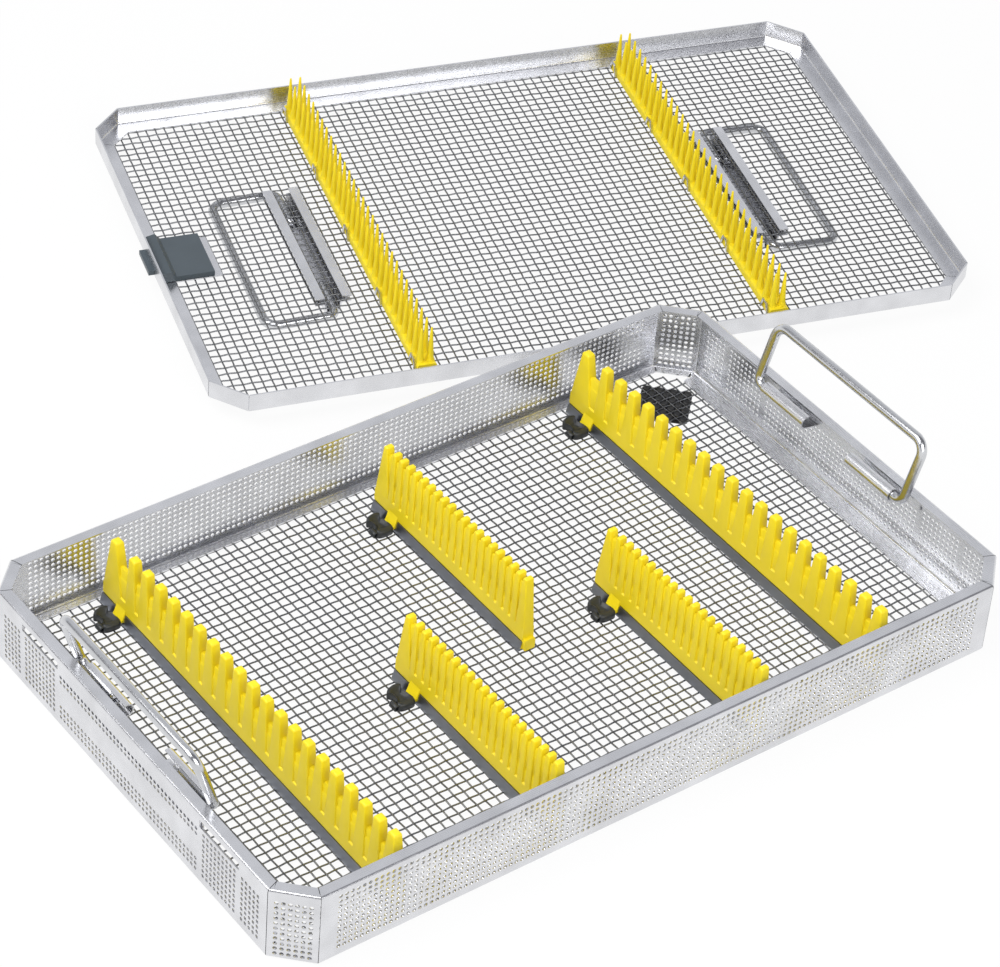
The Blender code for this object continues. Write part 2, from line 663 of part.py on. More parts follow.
def build_bars():
    for name, bar in BARS.items():
        x, front, rear = bar_frame(bar)
        build_rail(name, x, front, rear)
        build_comb(name, x, front, rear, bar["coarse"])
        build_lock_clip(name, x, rear)


def build_pad():
    """Rubber pad set across the corner, with a round knob for each opening of the mesh that it covers."""
    centre_x = (math.floor((TRAY_LENGTH / 2 - PAD_END_SETBACK) / MESH_PITCH) + 0.5) * MESH_PITCH
    centre_y = (math.floor((TRAY_WIDTH / 2 - PAD_SIDE_SETBACK) / MESH_PITCH) + 0.5) * MESH_PITCH
    reach = PAD_STEPS * MESH_PITCH
    bound = reach + PAD_KNOB_DIAMETER / 2 + PAD_MARGIN
    tip = reach + (PAD_KNOB_DIAMETER / 2 + PAD_MARGIN) * math.sqrt(2)
    flat = tip - bound
    outline = [(bound, flat), (flat, bound), (-flat, bound), (-bound, flat)]
    outline += [(-x, -y) for x, y in outline]
    low = NET_THICKNESS + GAP
    bm = bmesh.new()
    prism(bm, outline, lambda point, z: (centre_x + point[0], centre_y + point[1], z), low, low + PAD_PLATE)
    pad = add_object("corner_pad", bm, BLACK_RUBBER)
    bm = bmesh.new()
    for column in range(-PAD_STEPS, PAD_STEPS + 1):
        for row in range(abs(column) - PAD_STEPS, PAD_STEPS - abs(column) + 1):
            middle = (centre_x + column * MESH_PITCH, centre_y + row * MESH_PITCH)
            ring = arc(middle, PAD_KNOB_DIAMETER / 2, 0.0, math.tau, PAD_KNOB_SIDES)[:-1]
            prism(bm, ring, lambda point, z: (*point, z), low + PAD_PLATE / 2, low + PAD_PLATE + PAD_KNOB_HEIGHT)
    add_boolean(pad, helper("corner_pad_knobs", bm), "UNION")


def lid_seat():
    """Empty at the lid's centre on the table: the lid's near side passes the tray's rear corner."""
    corner = Vector((TRAY_LENGTH / 2 - CORNER_LEG, TRAY_WIDTH / 2, 0.0))
    turn = Matrix.Rotation(LID_YAW, 3, "Z")
    offset = Vector((LID_SLIDE_share * LID_LENGTH, LID_WIDTH / 2 + LID_CLEARANCE, 0.0))
    return empty("lid_seat", corner + turn @ offset, LID_YAW)


def build_lid_frame(seat):
    """The lid's pressed frame: a flat ring with its rim standing up, as it lies upside down."""
    centre = (LID_BEND, LID_FLANGE_LEVEL + LID_BEND)
    outer = arc(centre, LID_BEND, -math.pi / 2, -math.pi, BEND_STEPS)
    inner = arc(centre, LID_BEND - SHEET, -math.pi, -math.pi / 2, BEND_STEPS)
    profile = [(LID_FLANGE, LID_FLANGE_LEVEL), *outer, (0.0, LID_TOP_LEVEL), (SHEET, LID_TOP_LEVEL), *inner,
               (LID_FLANGE, LID_FLANGE_LEVEL + SHEET)]
    bm = bmesh.new()
    rings = []
    for inset, up in profile:
        outline = octagon(LID_LENGTH, LID_WIDTH, CORNER_LEG, inset, inset, inset)
        rings.append([bm.verts.new((x, y, up)) for x, y in outline])
    for ring, following in zip(rings, rings[1:] + rings[:1]):
        for side, vertex in enumerate(ring):
            beside = (side + 1) % len(ring)
            bm.faces.new((vertex, ring[beside], following[beside], following[side]))
    frame = add_object("lid_frame", bm, STEEL)
    frame.parent = seat
    tongue_half = LATCH_TONGUE_WIDTH / 2 + 2 * GAP
    level = LID_FLANGE_LEVEL + SHEET
    bm = bmesh.new()
    box(bm, (-LID_LENGTH / 2 - CUT_OVERRUN, -tongue_half, level),
        (-LID_LENGTH / 2 + CUT_OVERRUN, tongue_half, level + 3 * GAP + LATCH_THICKNESS))
    add_boolean(frame, helper("lid_frame_latch_slot", bm), "DIFFERENCE")


def build_lid_mesh(seat):
    inset = LID_FLANGE - LID_NET_LAP
    net = build_net("lid_mesh", LID_LENGTH, LID_WIDTH, CORNER_LEG, (inset, inset, inset))
    net.parent = seat
    net.location = (0.0, 0.0, LID_NET_LEVEL)


def channel_profile():
    """Section of a hinge channel on the lid's outer side, as (across, up): it hangs under two flanges."""
    top_half = CHANNEL_MOUTH / 2
    low_half = SLEEVE_OUTER
    lean = math.atan2(top_half - low_half, CHANNEL_DEPTH)
    wall = SHEET / math.cos(lean)
    flange_half = top_half + CHANNEL_STRIP
    top = LID_PLATE_LEVEL + SHEET
    right = [(low_half, 0.0), (top_half, LID_PLATE_LEVEL), (flange_half, LID_PLATE_LEVEL), (flange_half, top),
             (top_half - wall, top), (low_half - wall, SHEET)]
    return right + [(-across, up) for across, up in reversed(right)]


def build_lid_hinges(seat):
    for name, side in (("left", -1), ("right", 1)):
        x = side * LID_HINGE_share * LID_LENGTH
        bm = bmesh.new()
        prism(bm, channel_profile(), lambda point, y, x=x: (x + point[0], y, point[1]),
              -CHANNEL_LENGTH / 2, CHANNEL_LENGTH / 2)
        add_object(f"lid_{name}_hinge_channel", bm, STEEL).parent = seat
        for place, sign in (("inner", -side), ("outer", side)):
            edges = sorted((x + sign * CHANNEL_MOUTH / 2, x + sign * (CHANNEL_MOUTH / 2 + CHANNEL_STRIP)))
            bm = bmesh.new()
            box(bm, (edges[0], -CHANNEL_LENGTH / 2, LID_FLANGE_LEVEL),
                (edges[1], CHANNEL_LENGTH / 2, LID_FLANGE_LEVEL + SHEET))
            add_object(f"lid_{name}_{place}_strip", bm, BRIGHT_STEEL).parent = seat
        lean = side * (math.pi / 2 + LID_BAIL_DROP)
        handle = build_handle(f"lid_{name}_handle", (x, 0.0, LID_BAIL_LEVEL), LID_HANDLE_REACH, lean)
        handle.parent = seat


def build_latch(seat):
    """Sliding latch: a plate with a raised nose at the rim and a tongue through the rim's slot."""
    inner_face = -LID_LENGTH / 2 + SHEET + 2 * GAP
    level = LID_FLANGE_LEVEL + SHEET + GAP
    rise = LATCH_NOSE_LENGTH / 3
    section = ((inner_face + LID_BEND, 0.0), (inner_face + LATCH_LENGTH, 0.0),
               (inner_face + LATCH_LENGTH, LATCH_THICKNESS), (inner_face + LATCH_NOSE_LENGTH, LATCH_THICKNESS),
               (inner_face + LATCH_NOSE_LENGTH - rise, LATCH_NOSE_HEIGHT), (inner_face, LATCH_NOSE_HEIGHT - rise / 2),
               (inner_face, LID_BEND))
    bm = bmesh.new()
    prism(bm, section, lambda point, y: (point[0], y, level + point[1]), -LATCH_WIDTH / 2, LATCH_WIDTH / 2)
    latch = add_object("lid_latch", bm, GREY_PLASTIC)
    latch.parent = seat
    bm = bmesh.new()
    box(bm, (-LID_LENGTH / 2 - LATCH_TONGUE_REACH, -LATCH_TONGUE_WIDTH / 2, level + GAP),
        (inner_face + LATCH_NOSE_LENGTH / 2, LATCH_TONGUE_WIDTH / 2, level + LATCH_THICKNESS))
    add_boolean(latch, helper("lid_latch_tongue", bm), "UNION")
    start = -LID_LENGTH / 2 + LID_FLANGE + GAP
    bm = bmesh.new()
    box(bm, (start, -LATCH_WIDTH / 2, LID_FLANGE_LEVEL),
        (start + LATCH_PLATE_LENGTH, LATCH_WIDTH / 2, LID_FLANGE_LEVEL + SHEET))
    add_object("lid_latch_plate", bm, BRIGHT_STEEL).parent = seat


def build_pin_bar(seat, name, x):
    """Silicone strip with two rows of tapered pins, and the wire clips that hold it to the mesh."""
    half_length = LID_WIDTH / 2 - LID_FLANGE - RAIL_END_CLEARANCE
    low = LID_FLANGE_LEVEL
    top = low + PIN_BAR_HEIGHT
    half = PIN_BAR_WIDTH / 2
    bm = bmesh.new()
    box(bm, (x - half, -half_length, low), (x + half, half_length, top))
    bar = add_object(f"lid_{name}_pin_bar", bm, SILICONE)
    bar.parent = seat
    pins = math.floor(2 * half_length / PIN_PITCH)
    pitch = 2 * half_length / pins
    bm = bmesh.new()
    for row, sign in enumerate((-1, 1)):
        for index in range(pins):
            y = -half_length + pitch * (index + 0.5)
            centre = (x + sign * PIN_ROW_share * PIN_BAR_WIDTH, y)
            rings = []
            for level, width in ((top - PIN_SINK, PIN_FOOT), (top + PIN_HEIGHT - PIN_BAR_HEIGHT, PIN_TIP)):
                square = arc(centre, width / math.sqrt(2), math.pi / 4, math.pi / 4 + math.tau, 4)[:-1]
                rings.append([bm.verts.new((*point, level)) for point in square])
            loft(bm, rings)
    add_boolean(bar, helper(f"lid_{name}_pins", bm), "UNION")

    side_x = x - half - GAP - PIN_CLIP_WIRE / 2
    spacing = (2 * half_length - PIN_CLIP_SPREAD - 2 * PIN_CLIP_WIRE) / (PIN_CLIPS - 1)
    level = low + PIN_CLIP_WIRE / 2
    for index in range(PIN_CLIPS):
        y = (index - (PIN_CLIPS - 1) / 2) * spacing
        near = y - PIN_CLIP_SPREAD / 2
        far = y + PIN_CLIP_SPREAD / 2
        path = [Vector((side_x, near, level)), Vector((side_x, near + PIN_CLIP_SPREAD / 4, level + PIN_CLIP_HEIGHT)),
                Vector((side_x, far - PIN_CLIP_SPREAD / 4, level + PIN_CLIP_HEIGHT)), Vector((side_x, far, level))]
        bm = bmesh.new()
        tube(bm, path, PIN_CLIP_WIRE / 2, PIN_CLIP_SIDES)
        add_object(f"lid_{name}_wire_clip_{index + 1}", bm, BRIGHT_STEEL).parent = seat


def build_lid():
    seat = lid_seat()
    build_lid_frame(seat)
    build_lid_mesh(seat)
    build_lid_hinges(seat)
    build_latch(seat)
    for name, share in PIN_BAR_shares.items():
        build_pin_bar(seat, name, share * LID_LENGTH)


def main():
    clear_scene()
    build_walls()
    build_floor()
    build_hinge_plates()
    build_tray_handles()
    build_bars()
    build_pad()
    build_lid()


main()
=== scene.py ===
"""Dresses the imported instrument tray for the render: woven mesh, perforated walls, silicone, metal.

Sizes are in millimetres and become metres when a piece is made. The tray's centre is the origin.
"""

import json
import math

import bpy
import numpy as np
from mathutils import Matrix, Vector


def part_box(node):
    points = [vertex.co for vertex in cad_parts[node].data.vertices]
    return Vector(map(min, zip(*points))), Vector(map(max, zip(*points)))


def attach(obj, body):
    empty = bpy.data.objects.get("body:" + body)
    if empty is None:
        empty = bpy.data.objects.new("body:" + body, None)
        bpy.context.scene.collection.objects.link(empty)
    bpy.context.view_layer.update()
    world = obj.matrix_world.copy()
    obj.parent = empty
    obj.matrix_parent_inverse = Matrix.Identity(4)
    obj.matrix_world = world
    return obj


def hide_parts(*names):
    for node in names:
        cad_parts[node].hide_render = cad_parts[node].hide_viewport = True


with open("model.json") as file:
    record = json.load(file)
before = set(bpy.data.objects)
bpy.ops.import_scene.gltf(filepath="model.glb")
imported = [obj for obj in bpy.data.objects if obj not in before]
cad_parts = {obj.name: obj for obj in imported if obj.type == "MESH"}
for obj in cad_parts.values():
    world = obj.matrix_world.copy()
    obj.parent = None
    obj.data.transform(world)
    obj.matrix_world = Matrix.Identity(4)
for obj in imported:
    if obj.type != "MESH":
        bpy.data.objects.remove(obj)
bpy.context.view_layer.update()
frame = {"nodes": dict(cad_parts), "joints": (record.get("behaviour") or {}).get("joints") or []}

MM = 0.001

# Sheet metal
SHEET = 0.8
SEAM = 0.3
RIM_BEND = 1.5
FOOT_BEND = 2.0
RIM_WIDTH = 6.0
END_FLANGE = 12.4
SIDE_FLANGE = 7.5
STRIP_WIDTH = 3.0
STRIP_RISE = 0.8
STRIP_LEVEL = 2.3
CORNER_LEG = 16.0

# Perforation
HOLE_PITCH = 3.0
HOLE_RADIUS = 1.0
HOLE_SIDES = 12
HOLE_ROWS = 12
FIRST_ROW = 3.3
CORNER_COLUMNS = 6
CORNER_ROWS = 10
CORNER_FIRST_ROW = 6.5
SIDE_MARGIN = 7.0
END_MARGIN = 5.0
SLOT_CENTRE = 73.4
SLOT_LENGTH = 30.5
SLOT_LOW = 33.0
SLOT_HIGH = 37.0
SLOT_MARGIN = 2.0
LABEL = (-57.0, 58.0, 14.0, 27.0)

# Woven mesh
MESH_PITCH = 5.0
WIRE = 0.43
CRIMP = 0.14
CRIMP_REACH_share = 0.2
WIRE_SIDES = 6
CORNER_CUT = 13.8

# Rails and silicone bars
RAIL_TOP_GAP = 0.3
RAIL_SHEET = 0.6
BLADE_FOOT = 3.2
BLADE_TIP = 2.2
DOVETAIL = (2.55, 3.85)
NOTCH_SETBACK = 11.8
NOTCH_LENGTH = 8.2
TAB = (5.4, 2.2, 2.0)
TAB_CHAMFER = (0.6, 0.7)
FLANK_FOOT = ((-0.3, 0.0), (0.0, 0.3))
FLANK_TOP = ((-0.2, -0.5), (-0.7, 0.0))
NECK = (1.4, 0.4)
WEB_FOOT = 2.3
WEB_OVERRUN = 0.6
FINGER_OVERRUN = 0.5
EDGE_ROUND = 0.55
CAP_share = 0.55
CAP_DEGREES = (25, 48, 66, 80)
END_LUG = ((2.6, 0.0), (3.1, 0.5), (3.1, 5.2), (2.6, 6.2))
END_LUG_LEVEL = 0.4
END_LUG_REACH = (-1.8, 0.5)
COARSE = {"root": 6.9, "pitch": 10.9, "foot": 4.1, "tip": 2.3, "end": 7.5, "first": 23.0, "last": 5.8,
          "web": ((2.3, 8.2), (2.1, 17.3), (1.7, 18.0), (1.5, 18.3), (1.4, 22.3), (0.9, 23.0))}
FINE = {"root": 7.4, "pitch": 5.5, "foot": 2.0, "tip": 1.35, "end": 5.3, "first": 12.3, "last": 3.4,
        "web": ((2.2, 8.4), (2.1, 14.0), (1.8, 14.4), (1.7, 17.2), (1.9, 17.6), (1.5, 30.6), (1.0, 31.4))}

# Lock clips beside the bars, as shares of their length away from the rail and their width along it
CLIP_LENGTH = 9.5
CLIP_WIDTH = 15.0
CLIP_OFFSET = 1.7
CLIP_CLEARANCE = 0.7
CLIP_OUTLINE_shares = (
    (0.25, 0.50), (0.0, 0.42), (0.15, 0.20), (0.10, 0.0), (0.0, -0.30), (0.10, -0.46), (0.35, -0.50),
    (0.80, -0.48), (1.0, -0.38), (0.88, -0.22), (0.80, 0.0), (0.85, 0.18), (0.95, 0.26),
    (0.75, 0.42), (0.50, 0.48),
)
CLIP_RINGS = ((0.94, 0.0), (1.0, 0.5), (1.0, 2.6), (0.97, 3.5), (0.90, 4.0), (0.82, 4.2), (0.66, 4.0),
              (0.5, 3.1), (0.3, 2.8), (0.1, 2.8))

# The clip's round pin: its radius, its length, and its place away from the rail and along it. Its rings
# are given as shares of the radius and as setbacks from its rear and front ends.
CLIP_PIN = (1.8, 4.6, 9.88, -3.6)
PIN_RISE = 0.3
PIN_REAR_RINGS = ((0.0001, 1.2), (0.55, 1.2), (0.6, 0.1), (0.85, 0.0), (1.0, 0.3))
PIN_FRONT_RINGS = ((1.0, 0.4), (0.8, 0.0), (0.0001, 0.0))
PIN_ROUND = 20

# Knobbed pad
PAD_STEPS = 3
PAD_CENTRE = (172.5, 97.5)
PAD_KNOB = 1.9
PAD_MARGIN = 0.4
PAD_LEVELS = (0.1, 0.55, 2.0)
KNOB_SINK = 0.2
KNOB_CROWN = ((1.0, -0.7), (0.93, -0.3), (0.72, 0.0), (0.4, 0.1))
KNOB_SIDES = 16

# Lid, whose frame of reference is its own centre on the table, placed in metres
LID_TURN = Matrix.Rotation(math.radians(-17.1), 4, "Z")
LID_PLACE = Matrix.Translation((0.20262, 0.2575, 0.0)) @ LID_TURN
LID_HALF = (204.8, 128.3)
LID_NET_INSET = 4.2
LID_FLANGE = 9.2
LID_BEND = 1.5
PIN_PITCH = 8.0
PIN_ROW = 2.65
PIN_FOOT = 1.8
PIN_TIP = 0.55
PIN_SIDES = 10
PIN_PROFILE = ((-0.05, 2.6), (0.0, 2.4), (0.04, 2.0), (0.12, PIN_FOOT), (0.5, 1.25), (0.97, PIN_TIP),
               (0.99, 0.75 * PIN_TIP), (1.0, 0.3 * PIN_TIP))
PIN_BAR_HEIGHT = 4.5
PIN_BAR_HALF = 5.25
PIN_BAR_EDGE = ((0.0, -1.2), (-0.35, -0.4), (-1.05, 0.0))
PIN_BAR_GAP = 0.6
PIN_BAR_shares = {"left": -0.2283, "right": 0.2363}

# Handles and the sleeves that they turn in
BAIL_RADIUS = 2.5
BAIL_SIDES = 20
BAIL_SPAN = 109.0
BAIL_BEND = 7.0
FOOT_RADIUS = 4.5
FOOT_LENGTH = 28.0
HANDLE_REACH = 33.0
HANDLE_LEAN = math.radians(17.1)
SLEEVE_INNER = 2.85
SLEEVE_OUTER = 3.65
SLEEVE_TURN = (math.radians(-101), math.radians(-290))
SLEEVE_ENDS = (16.3, 48.0)
SLEEVE_STEPS = 20
PLATE_HALF = 59.0
PLATE_REACH = 9.0
PLATE_LOW = -6.8
PLATE_HIGH = -0.2
PLATE_CORNER = 2.0
TAB_LEVEL = -4.6
LID_HANDLE_REACH = 36.5
LID_BAIL_DROP = math.asin((SLEEVE_OUTER - BAIL_RADIUS) / LID_HANDLE_REACH)

# Steps of a rounded fold, and the rings of a tube's end as shares of its radius: outward, wide
ARC_STEPS = 8
ROUND_END = ((0.5, 0.87), (0.9, 0.45))


class Shape:
    """Points and faces of one mesh, in millimetres."""

    def __init__(self):
        self.points = []
        self.faces = []

    def add(self, points, faces):
        start = len(self.points)
        self.points += [tuple(point) for point in points]
        self.faces += [tuple(start + index for index in face) for face in faces]

    def loft(self, rings, caps=True, close=False):
        """Joins rings of equal count, and closes the ends with caps or one ring round to the first."""
        count = len(rings[0])
        faces = []
        for ring in range(len(rings) if close else len(rings) - 1):
            here = ring * count
            there = (ring + 1) % len(rings) * count
            for side in range(count):
                beside = (side + 1) % count
                faces.append((here + side, here + beside, there + beside, there + side))
        if caps and not close:
            last = (len(rings) - 1) * count
            faces.append(tuple(range(count))[::-1])
            faces.append(tuple(range(last, last + count)))
        self.add([point for ring in rings for point in ring], faces)

    def prism(self, outline, at, low, high):
        self.loft([[at(point, level) for point in outline] for level in (low, high)])


def piece(name, shape, body, finish, nodes=(), place=None, smooth=30):
    """Makes a visible piece of a shape, rides it on its body and hides the CAD nodes it stands for."""
    points = np.array(shape.points) * MM
    if place is not None:
        turned = np.array(place.to_3x3()) @ points.T
        points = turned.T + np.array(place.translation)
    mesh = bpy.data.meshes.new(name)
    mesh.from_pydata(points.tolist(), [], shape.faces)
    mesh.validate()
    mesh.update()
    if smooth:
        mesh.shade_smooth()
        mesh.set_sharp_from_angle(angle=math.radians(smooth))
    made = bpy.data.objects.new(name, mesh)
    made.data.materials.append(finish)
    bpy.context.scene.collection.objects.link(made)
    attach(made, body)
    if nodes:
        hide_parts(*nodes)
    return made


def node_box(node):
    """Lowest and highest corners of a CAD node, in millimetres."""
    low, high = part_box(node)
    return np.array(low) / MM, np.array(high) / MM


def arc(centre, radius, start, end, steps):
    angles = [start + (end - start) * step / steps for step in range(steps + 1)]
    return [(centre[0] + radius * math.cos(a), centre[1] + radius * math.sin(a)) for a in angles]


def rounded_path(corners, radii, steps):
    """A path whose inner corners are rounded, each to its own radius."""
    path = [Vector(corners[0])]
    for before, corner, after, radius in zip(corners, corners[1:], corners[2:], radii):
        corner = Vector(corner)
        back = (Vector(before) - corner).normalized()
        ahead = (Vector(after) - corner).normalized()
        half = back.angle(ahead) / 2
        centre = corner + (back + ahead).normalized() * (radius / math.sin(half))
        start = corner + back * (radius / math.tan(half)) - centre
        end = corner + ahead * (radius / math.tan(half)) - centre
        axis = start.cross(end).normalized()
        turn = start.angle(end)
        path += [centre + Matrix.Rotation(turn * step / steps, 3, axis) @ start for step in range(steps + 1)]
    return path + [Vector(corners[-1])]


def tube(shape, path, radius, sides):
    """Sweeps a round section along a path, with rounded ends."""
    path = [Vector(point) for point in path]
    tangents = []
    for index in range(len(path)):
        before = (path[index] - path[max(index - 1, 0)]).normalized()
        after = (path[min(index + 1, len(path) - 1)] - path[index]).normalized()
        tangents.append((before + after).normalized())
    across = tangents[0].orthogonal().normalized()
    rings = []
    for index, (point, along) in enumerate(zip(path, tangents)):
        across = (across - along * across.dot(along)).normalized()
        normal = along.cross(across)
        ring = [across * math.cos(math.tau * side / sides) + normal * math.sin(math.tau * side / sides)
                for side in range(sides)]
        outward = {0: -along, len(path) - 1: along}.get(index)
        if outward is None:
            rings.append([point + spoke * radius for spoke in ring])
            continue
        base = point - outward * radius
        cap = [[base + outward * radius * out + spoke * radius * wide for spoke in ring]
               for out, wide in ((0.0, 1.0), *ROUND_END)]
        rings += cap if index else cap[::-1]
    shape.loft(rings)


# Materials


def surface(name, colour, roughness, metallic=0.0, dark=0.85, cloud=60.0, grain=(900.0, 900.0, 900.0),
            bump=0.02, spread=0.08, **shader_values):
    """A finish with cloudy changes of tone and roughness and a fine grain in its relief."""
    made = bpy.data.materials.new(name)
    made.use_nodes = True
    nodes = made.node_tree.nodes
    links = made.node_tree.links
    shader = nodes["Principled BSDF"]
    shader.inputs["Metallic"].default_value = metallic
    for label, value in shader_values.items():
        shader.inputs[label.replace("_", " ")].default_value = value
    coordinates = nodes.new("ShaderNodeTexCoord")
    clouds = nodes.new("ShaderNodeTexNoise")
    clouds.inputs["Scale"].default_value = cloud
    clouds.inputs["Detail"].default_value = 3.0
    links.new(coordinates.outputs["Object"], clouds.inputs["Vector"])
    tone = nodes.new("ShaderNodeValToRGB")
    tone.color_ramp.elements[0].position = 0.3
    tone.color_ramp.elements[1].position = 0.7
    tone.color_ramp.elements[0].color = (*(part * dark for part in colour), 1.0)
    tone.color_ramp.elements[1].color = (*colour, 1.0)
    links.new(clouds.outputs["Fac"], tone.inputs["Fac"])
    links.new(tone.outputs["Color"], shader.inputs["Base Color"])
    stretch = nodes.new("ShaderNodeMapping")
    stretch.inputs["Scale"].default_value = grain
    links.new(coordinates.outputs["Object"], stretch.inputs["Vector"])
    fibres = nodes.new("ShaderNodeTexNoise")
    fibres.inputs["Scale"].default_value = 1.0
    fibres.inputs["Detail"].default_value = 2.0
    links.new(stretch.outputs["Vector"], fibres.inputs["Vector"])
    rough = nodes.new("ShaderNodeMapRange")
    rough.inputs["To Min"].default_value = roughness - spread
    rough.inputs["To Max"].default_value = roughness + spread
    links.new(fibres.outputs["Fac"], rough.inputs["Value"])
    links.new(rough.outputs["Result"], shader.inputs["Roughness"])
    relief = nodes.new("ShaderNodeBump")
    relief.inputs["Strength"].default_value = 0.35
    relief.inputs["Distance"].default_value = bump * MM
    links.new(fibres.outputs["Fac"], relief.inputs["Height"])
    links.new(relief.outputs["Normal"], shader.inputs["Normal"])
    return made


STEEL = (0.78, 0.785, 0.81)
GRAIN_ALONG_X = (120.0, 1600.0, 1600.0)
GRAIN_ALONG_Y = (1600.0, 120.0, 1600.0)
FINE_GRAIN = (700.0, 700.0, 700.0)
SHEET_STEEL = surface("sheet_steel", STEEL, 0.27, 1.0, grain=GRAIN_ALONG_X, bump=0.012)
END_STEEL = surface("end_sheet_steel", STEEL, 0.27, 1.0, grain=GRAIN_ALONG_Y, bump=0.012)
# Rail steel: its darker blue-grey base colour is painted shade, standing in for the rails being lit less than
# the other sheet steel
SHADED_RAIL_STEEL = surface("rail_steel_painted_shade", (0.36, 0.38, 0.43), 0.36, 1.0, grain=GRAIN_ALONG_Y, bump=0.012)
WIRE_STEEL = surface("wire_steel", (0.66, 0.67, 0.69), 0.22, 1.0, grain=FINE_GRAIN, bump=0.01)
# Weave wire steel: its dark base colour is painted shade, standing in for the shade on the thin wires; the
# handles' wire steel is lighter
SHADED_MESH_STEEL = surface("mesh_steel_painted_shade", (0.22, 0.225, 0.235), 0.26, 1.0, grain=FINE_GRAIN, bump=0.01)
SILICONE = surface("yellow_silicone", (0.93, 0.735, 0.012), 0.42, 0.0, dark=0.93, bump=0.03)
BLACK_PLASTIC = surface("black_plastic", (0.022, 0.025, 0.028), 0.42, 0.0, dark=0.8, bump=0.05)
GREY_PLASTIC = surface("grey_plastic", (0.065, 0.085, 0.10), 0.40, 0.0, dark=0.85, bump=0.05)
BLACK_RUBBER = surface("black_rubber", (0.012, 0.012, 0.014), 0.5, 0.0, dark=0.8, bump=0.05)


# Woven mesh


def weave(name, node, body, place, half_x, half_y, reach, level):
    """Crimped wires that pass over and under each other, cut to an octagon."""
    points = []
    faces = []
    count = 0
    lift = CRIMP_REACH_share * MESH_PITCH
    spokes = [(math.cos(math.tau * (side + 0.5) / WIRE_SIDES), math.sin(math.tau * (side + 0.5) / WIRE_SIDES))
              for side in range(WIRE_SIDES)]
    for direction, (half_across, half_along) in enumerate(((half_y, half_x), (half_x, half_y))):
        for step in range(-int(half_across / MESH_PITCH), int(half_across / MESH_PITCH) + 1):
            across = step * MESH_PITCH
            end = min(half_along, reach - abs(across))
            stations = [(-end, 0.0)]
            for crossing in range(-int(end / MESH_PITCH), int(end / MESH_PITCH) + 1):
                sign = 1 if (step + crossing + direction) % 2 else -1
                for shift in (-lift, lift):
                    if abs(crossing * MESH_PITCH + shift) < end:
                        stations.append((crossing * MESH_PITCH + shift, sign * CRIMP))
            stations[0] = (-end, stations[1][1])
            stations.append((end, stations[-1][1]))
            along, up = np.array(stations).T
            rings = np.zeros((len(stations), WIRE_SIDES, 3))
            for side, (wide, high) in enumerate(spokes):
                rings[:, side, direction] = along
                rings[:, side, 1 - direction] = across + wide * WIRE
                rings[:, side, 2] = level + up + high * WIRE
            points.append(rings.reshape(-1, 3))
            starts = count + np.arange(len(stations) - 1)[:, None] * WIRE_SIDES
            side = np.arange(WIRE_SIDES)
            beside = (side + 1) % WIRE_SIDES
            quads = np.stack([starts + side, starts + beside, starts + WIRE_SIDES + beside,
                              starts + WIRE_SIDES + side], axis=-1).reshape(-1, 4)
            faces += quads.tolist()
            last = count + (len(stations) - 1) * WIRE_SIDES
            faces.append(list(range(count, count + WIRE_SIDES))[::-1])
            faces.append(list(range(last, last + WIRE_SIDES)))
            count += len(stations) * WIRE_SIDES
    shape = Shape()
    shape.points = np.concatenate(points)
    shape.faces = faces
    # The weave takes the wire steel whose dark base colour is painted shade
    return piece(name, shape, body, SHADED_MESH_STEEL, (node,), place, smooth=65)


low, high = node_box("floor_mesh")
weave("floor_weave", "floor_mesh", "tray", None, high[0], high[1], high[0] + high[1] - CORNER_CUT,
      high[2] - WIRE - CRIMP)
lid_reach = sum(LID_HALF) - CORNER_LEG - LID_NET_INSET * math.sqrt(2)
lid_net_top = node_box("lid_mesh")[1][2]
weave("lid_weave", "lid_mesh", "lid", LID_PLACE, LID_HALF[0] - LID_NET_INSET, LID_HALF[1] - LID_NET_INSET,
      lid_reach, lid_net_top - WIRE - CRIMP)


# Perforated walls


def wall_section(flange, height):
    """Outer and inner halves of a wall's section as (inward, up): foot up to rim, without the flat part."""
    edge = flange - STRIP_WIDTH
    low_centre = (FOOT_BEND, FOOT_BEND)
    high_centre = (RIM_BEND, height - RIM_BEND)
    foot_outer = [(flange, STRIP_LEVEL), (edge, STRIP_LEVEL), (edge - STRIP_RISE, 0.0)]
    foot_outer += arc(low_centre, FOOT_BEND, -math.pi / 2, -math.pi, ARC_STEPS)
    rim_outer = arc(high_centre, RIM_BEND, math.pi, math.pi / 2, ARC_STEPS) + [(RIM_WIDTH, height)]
    rim_inner = [(RIM_WIDTH, height - SHEET)]
    rim_inner += arc(high_centre, RIM_BEND - SHEET, math.pi / 2, math.pi, ARC_STEPS)
    foot_inner = arc(low_centre, FOOT_BEND - SHEET, -math.pi, -math.pi / 2, ARC_STEPS)
    foot_inner += [(edge - STRIP_RISE - SHEET / 2, SHEET), (edge - SHEET / 2, STRIP_LEVEL + SHEET),
                   (flange, STRIP_LEVEL + SHEET)]
    return foot_outer, rim_outer, rim_inner, foot_inner


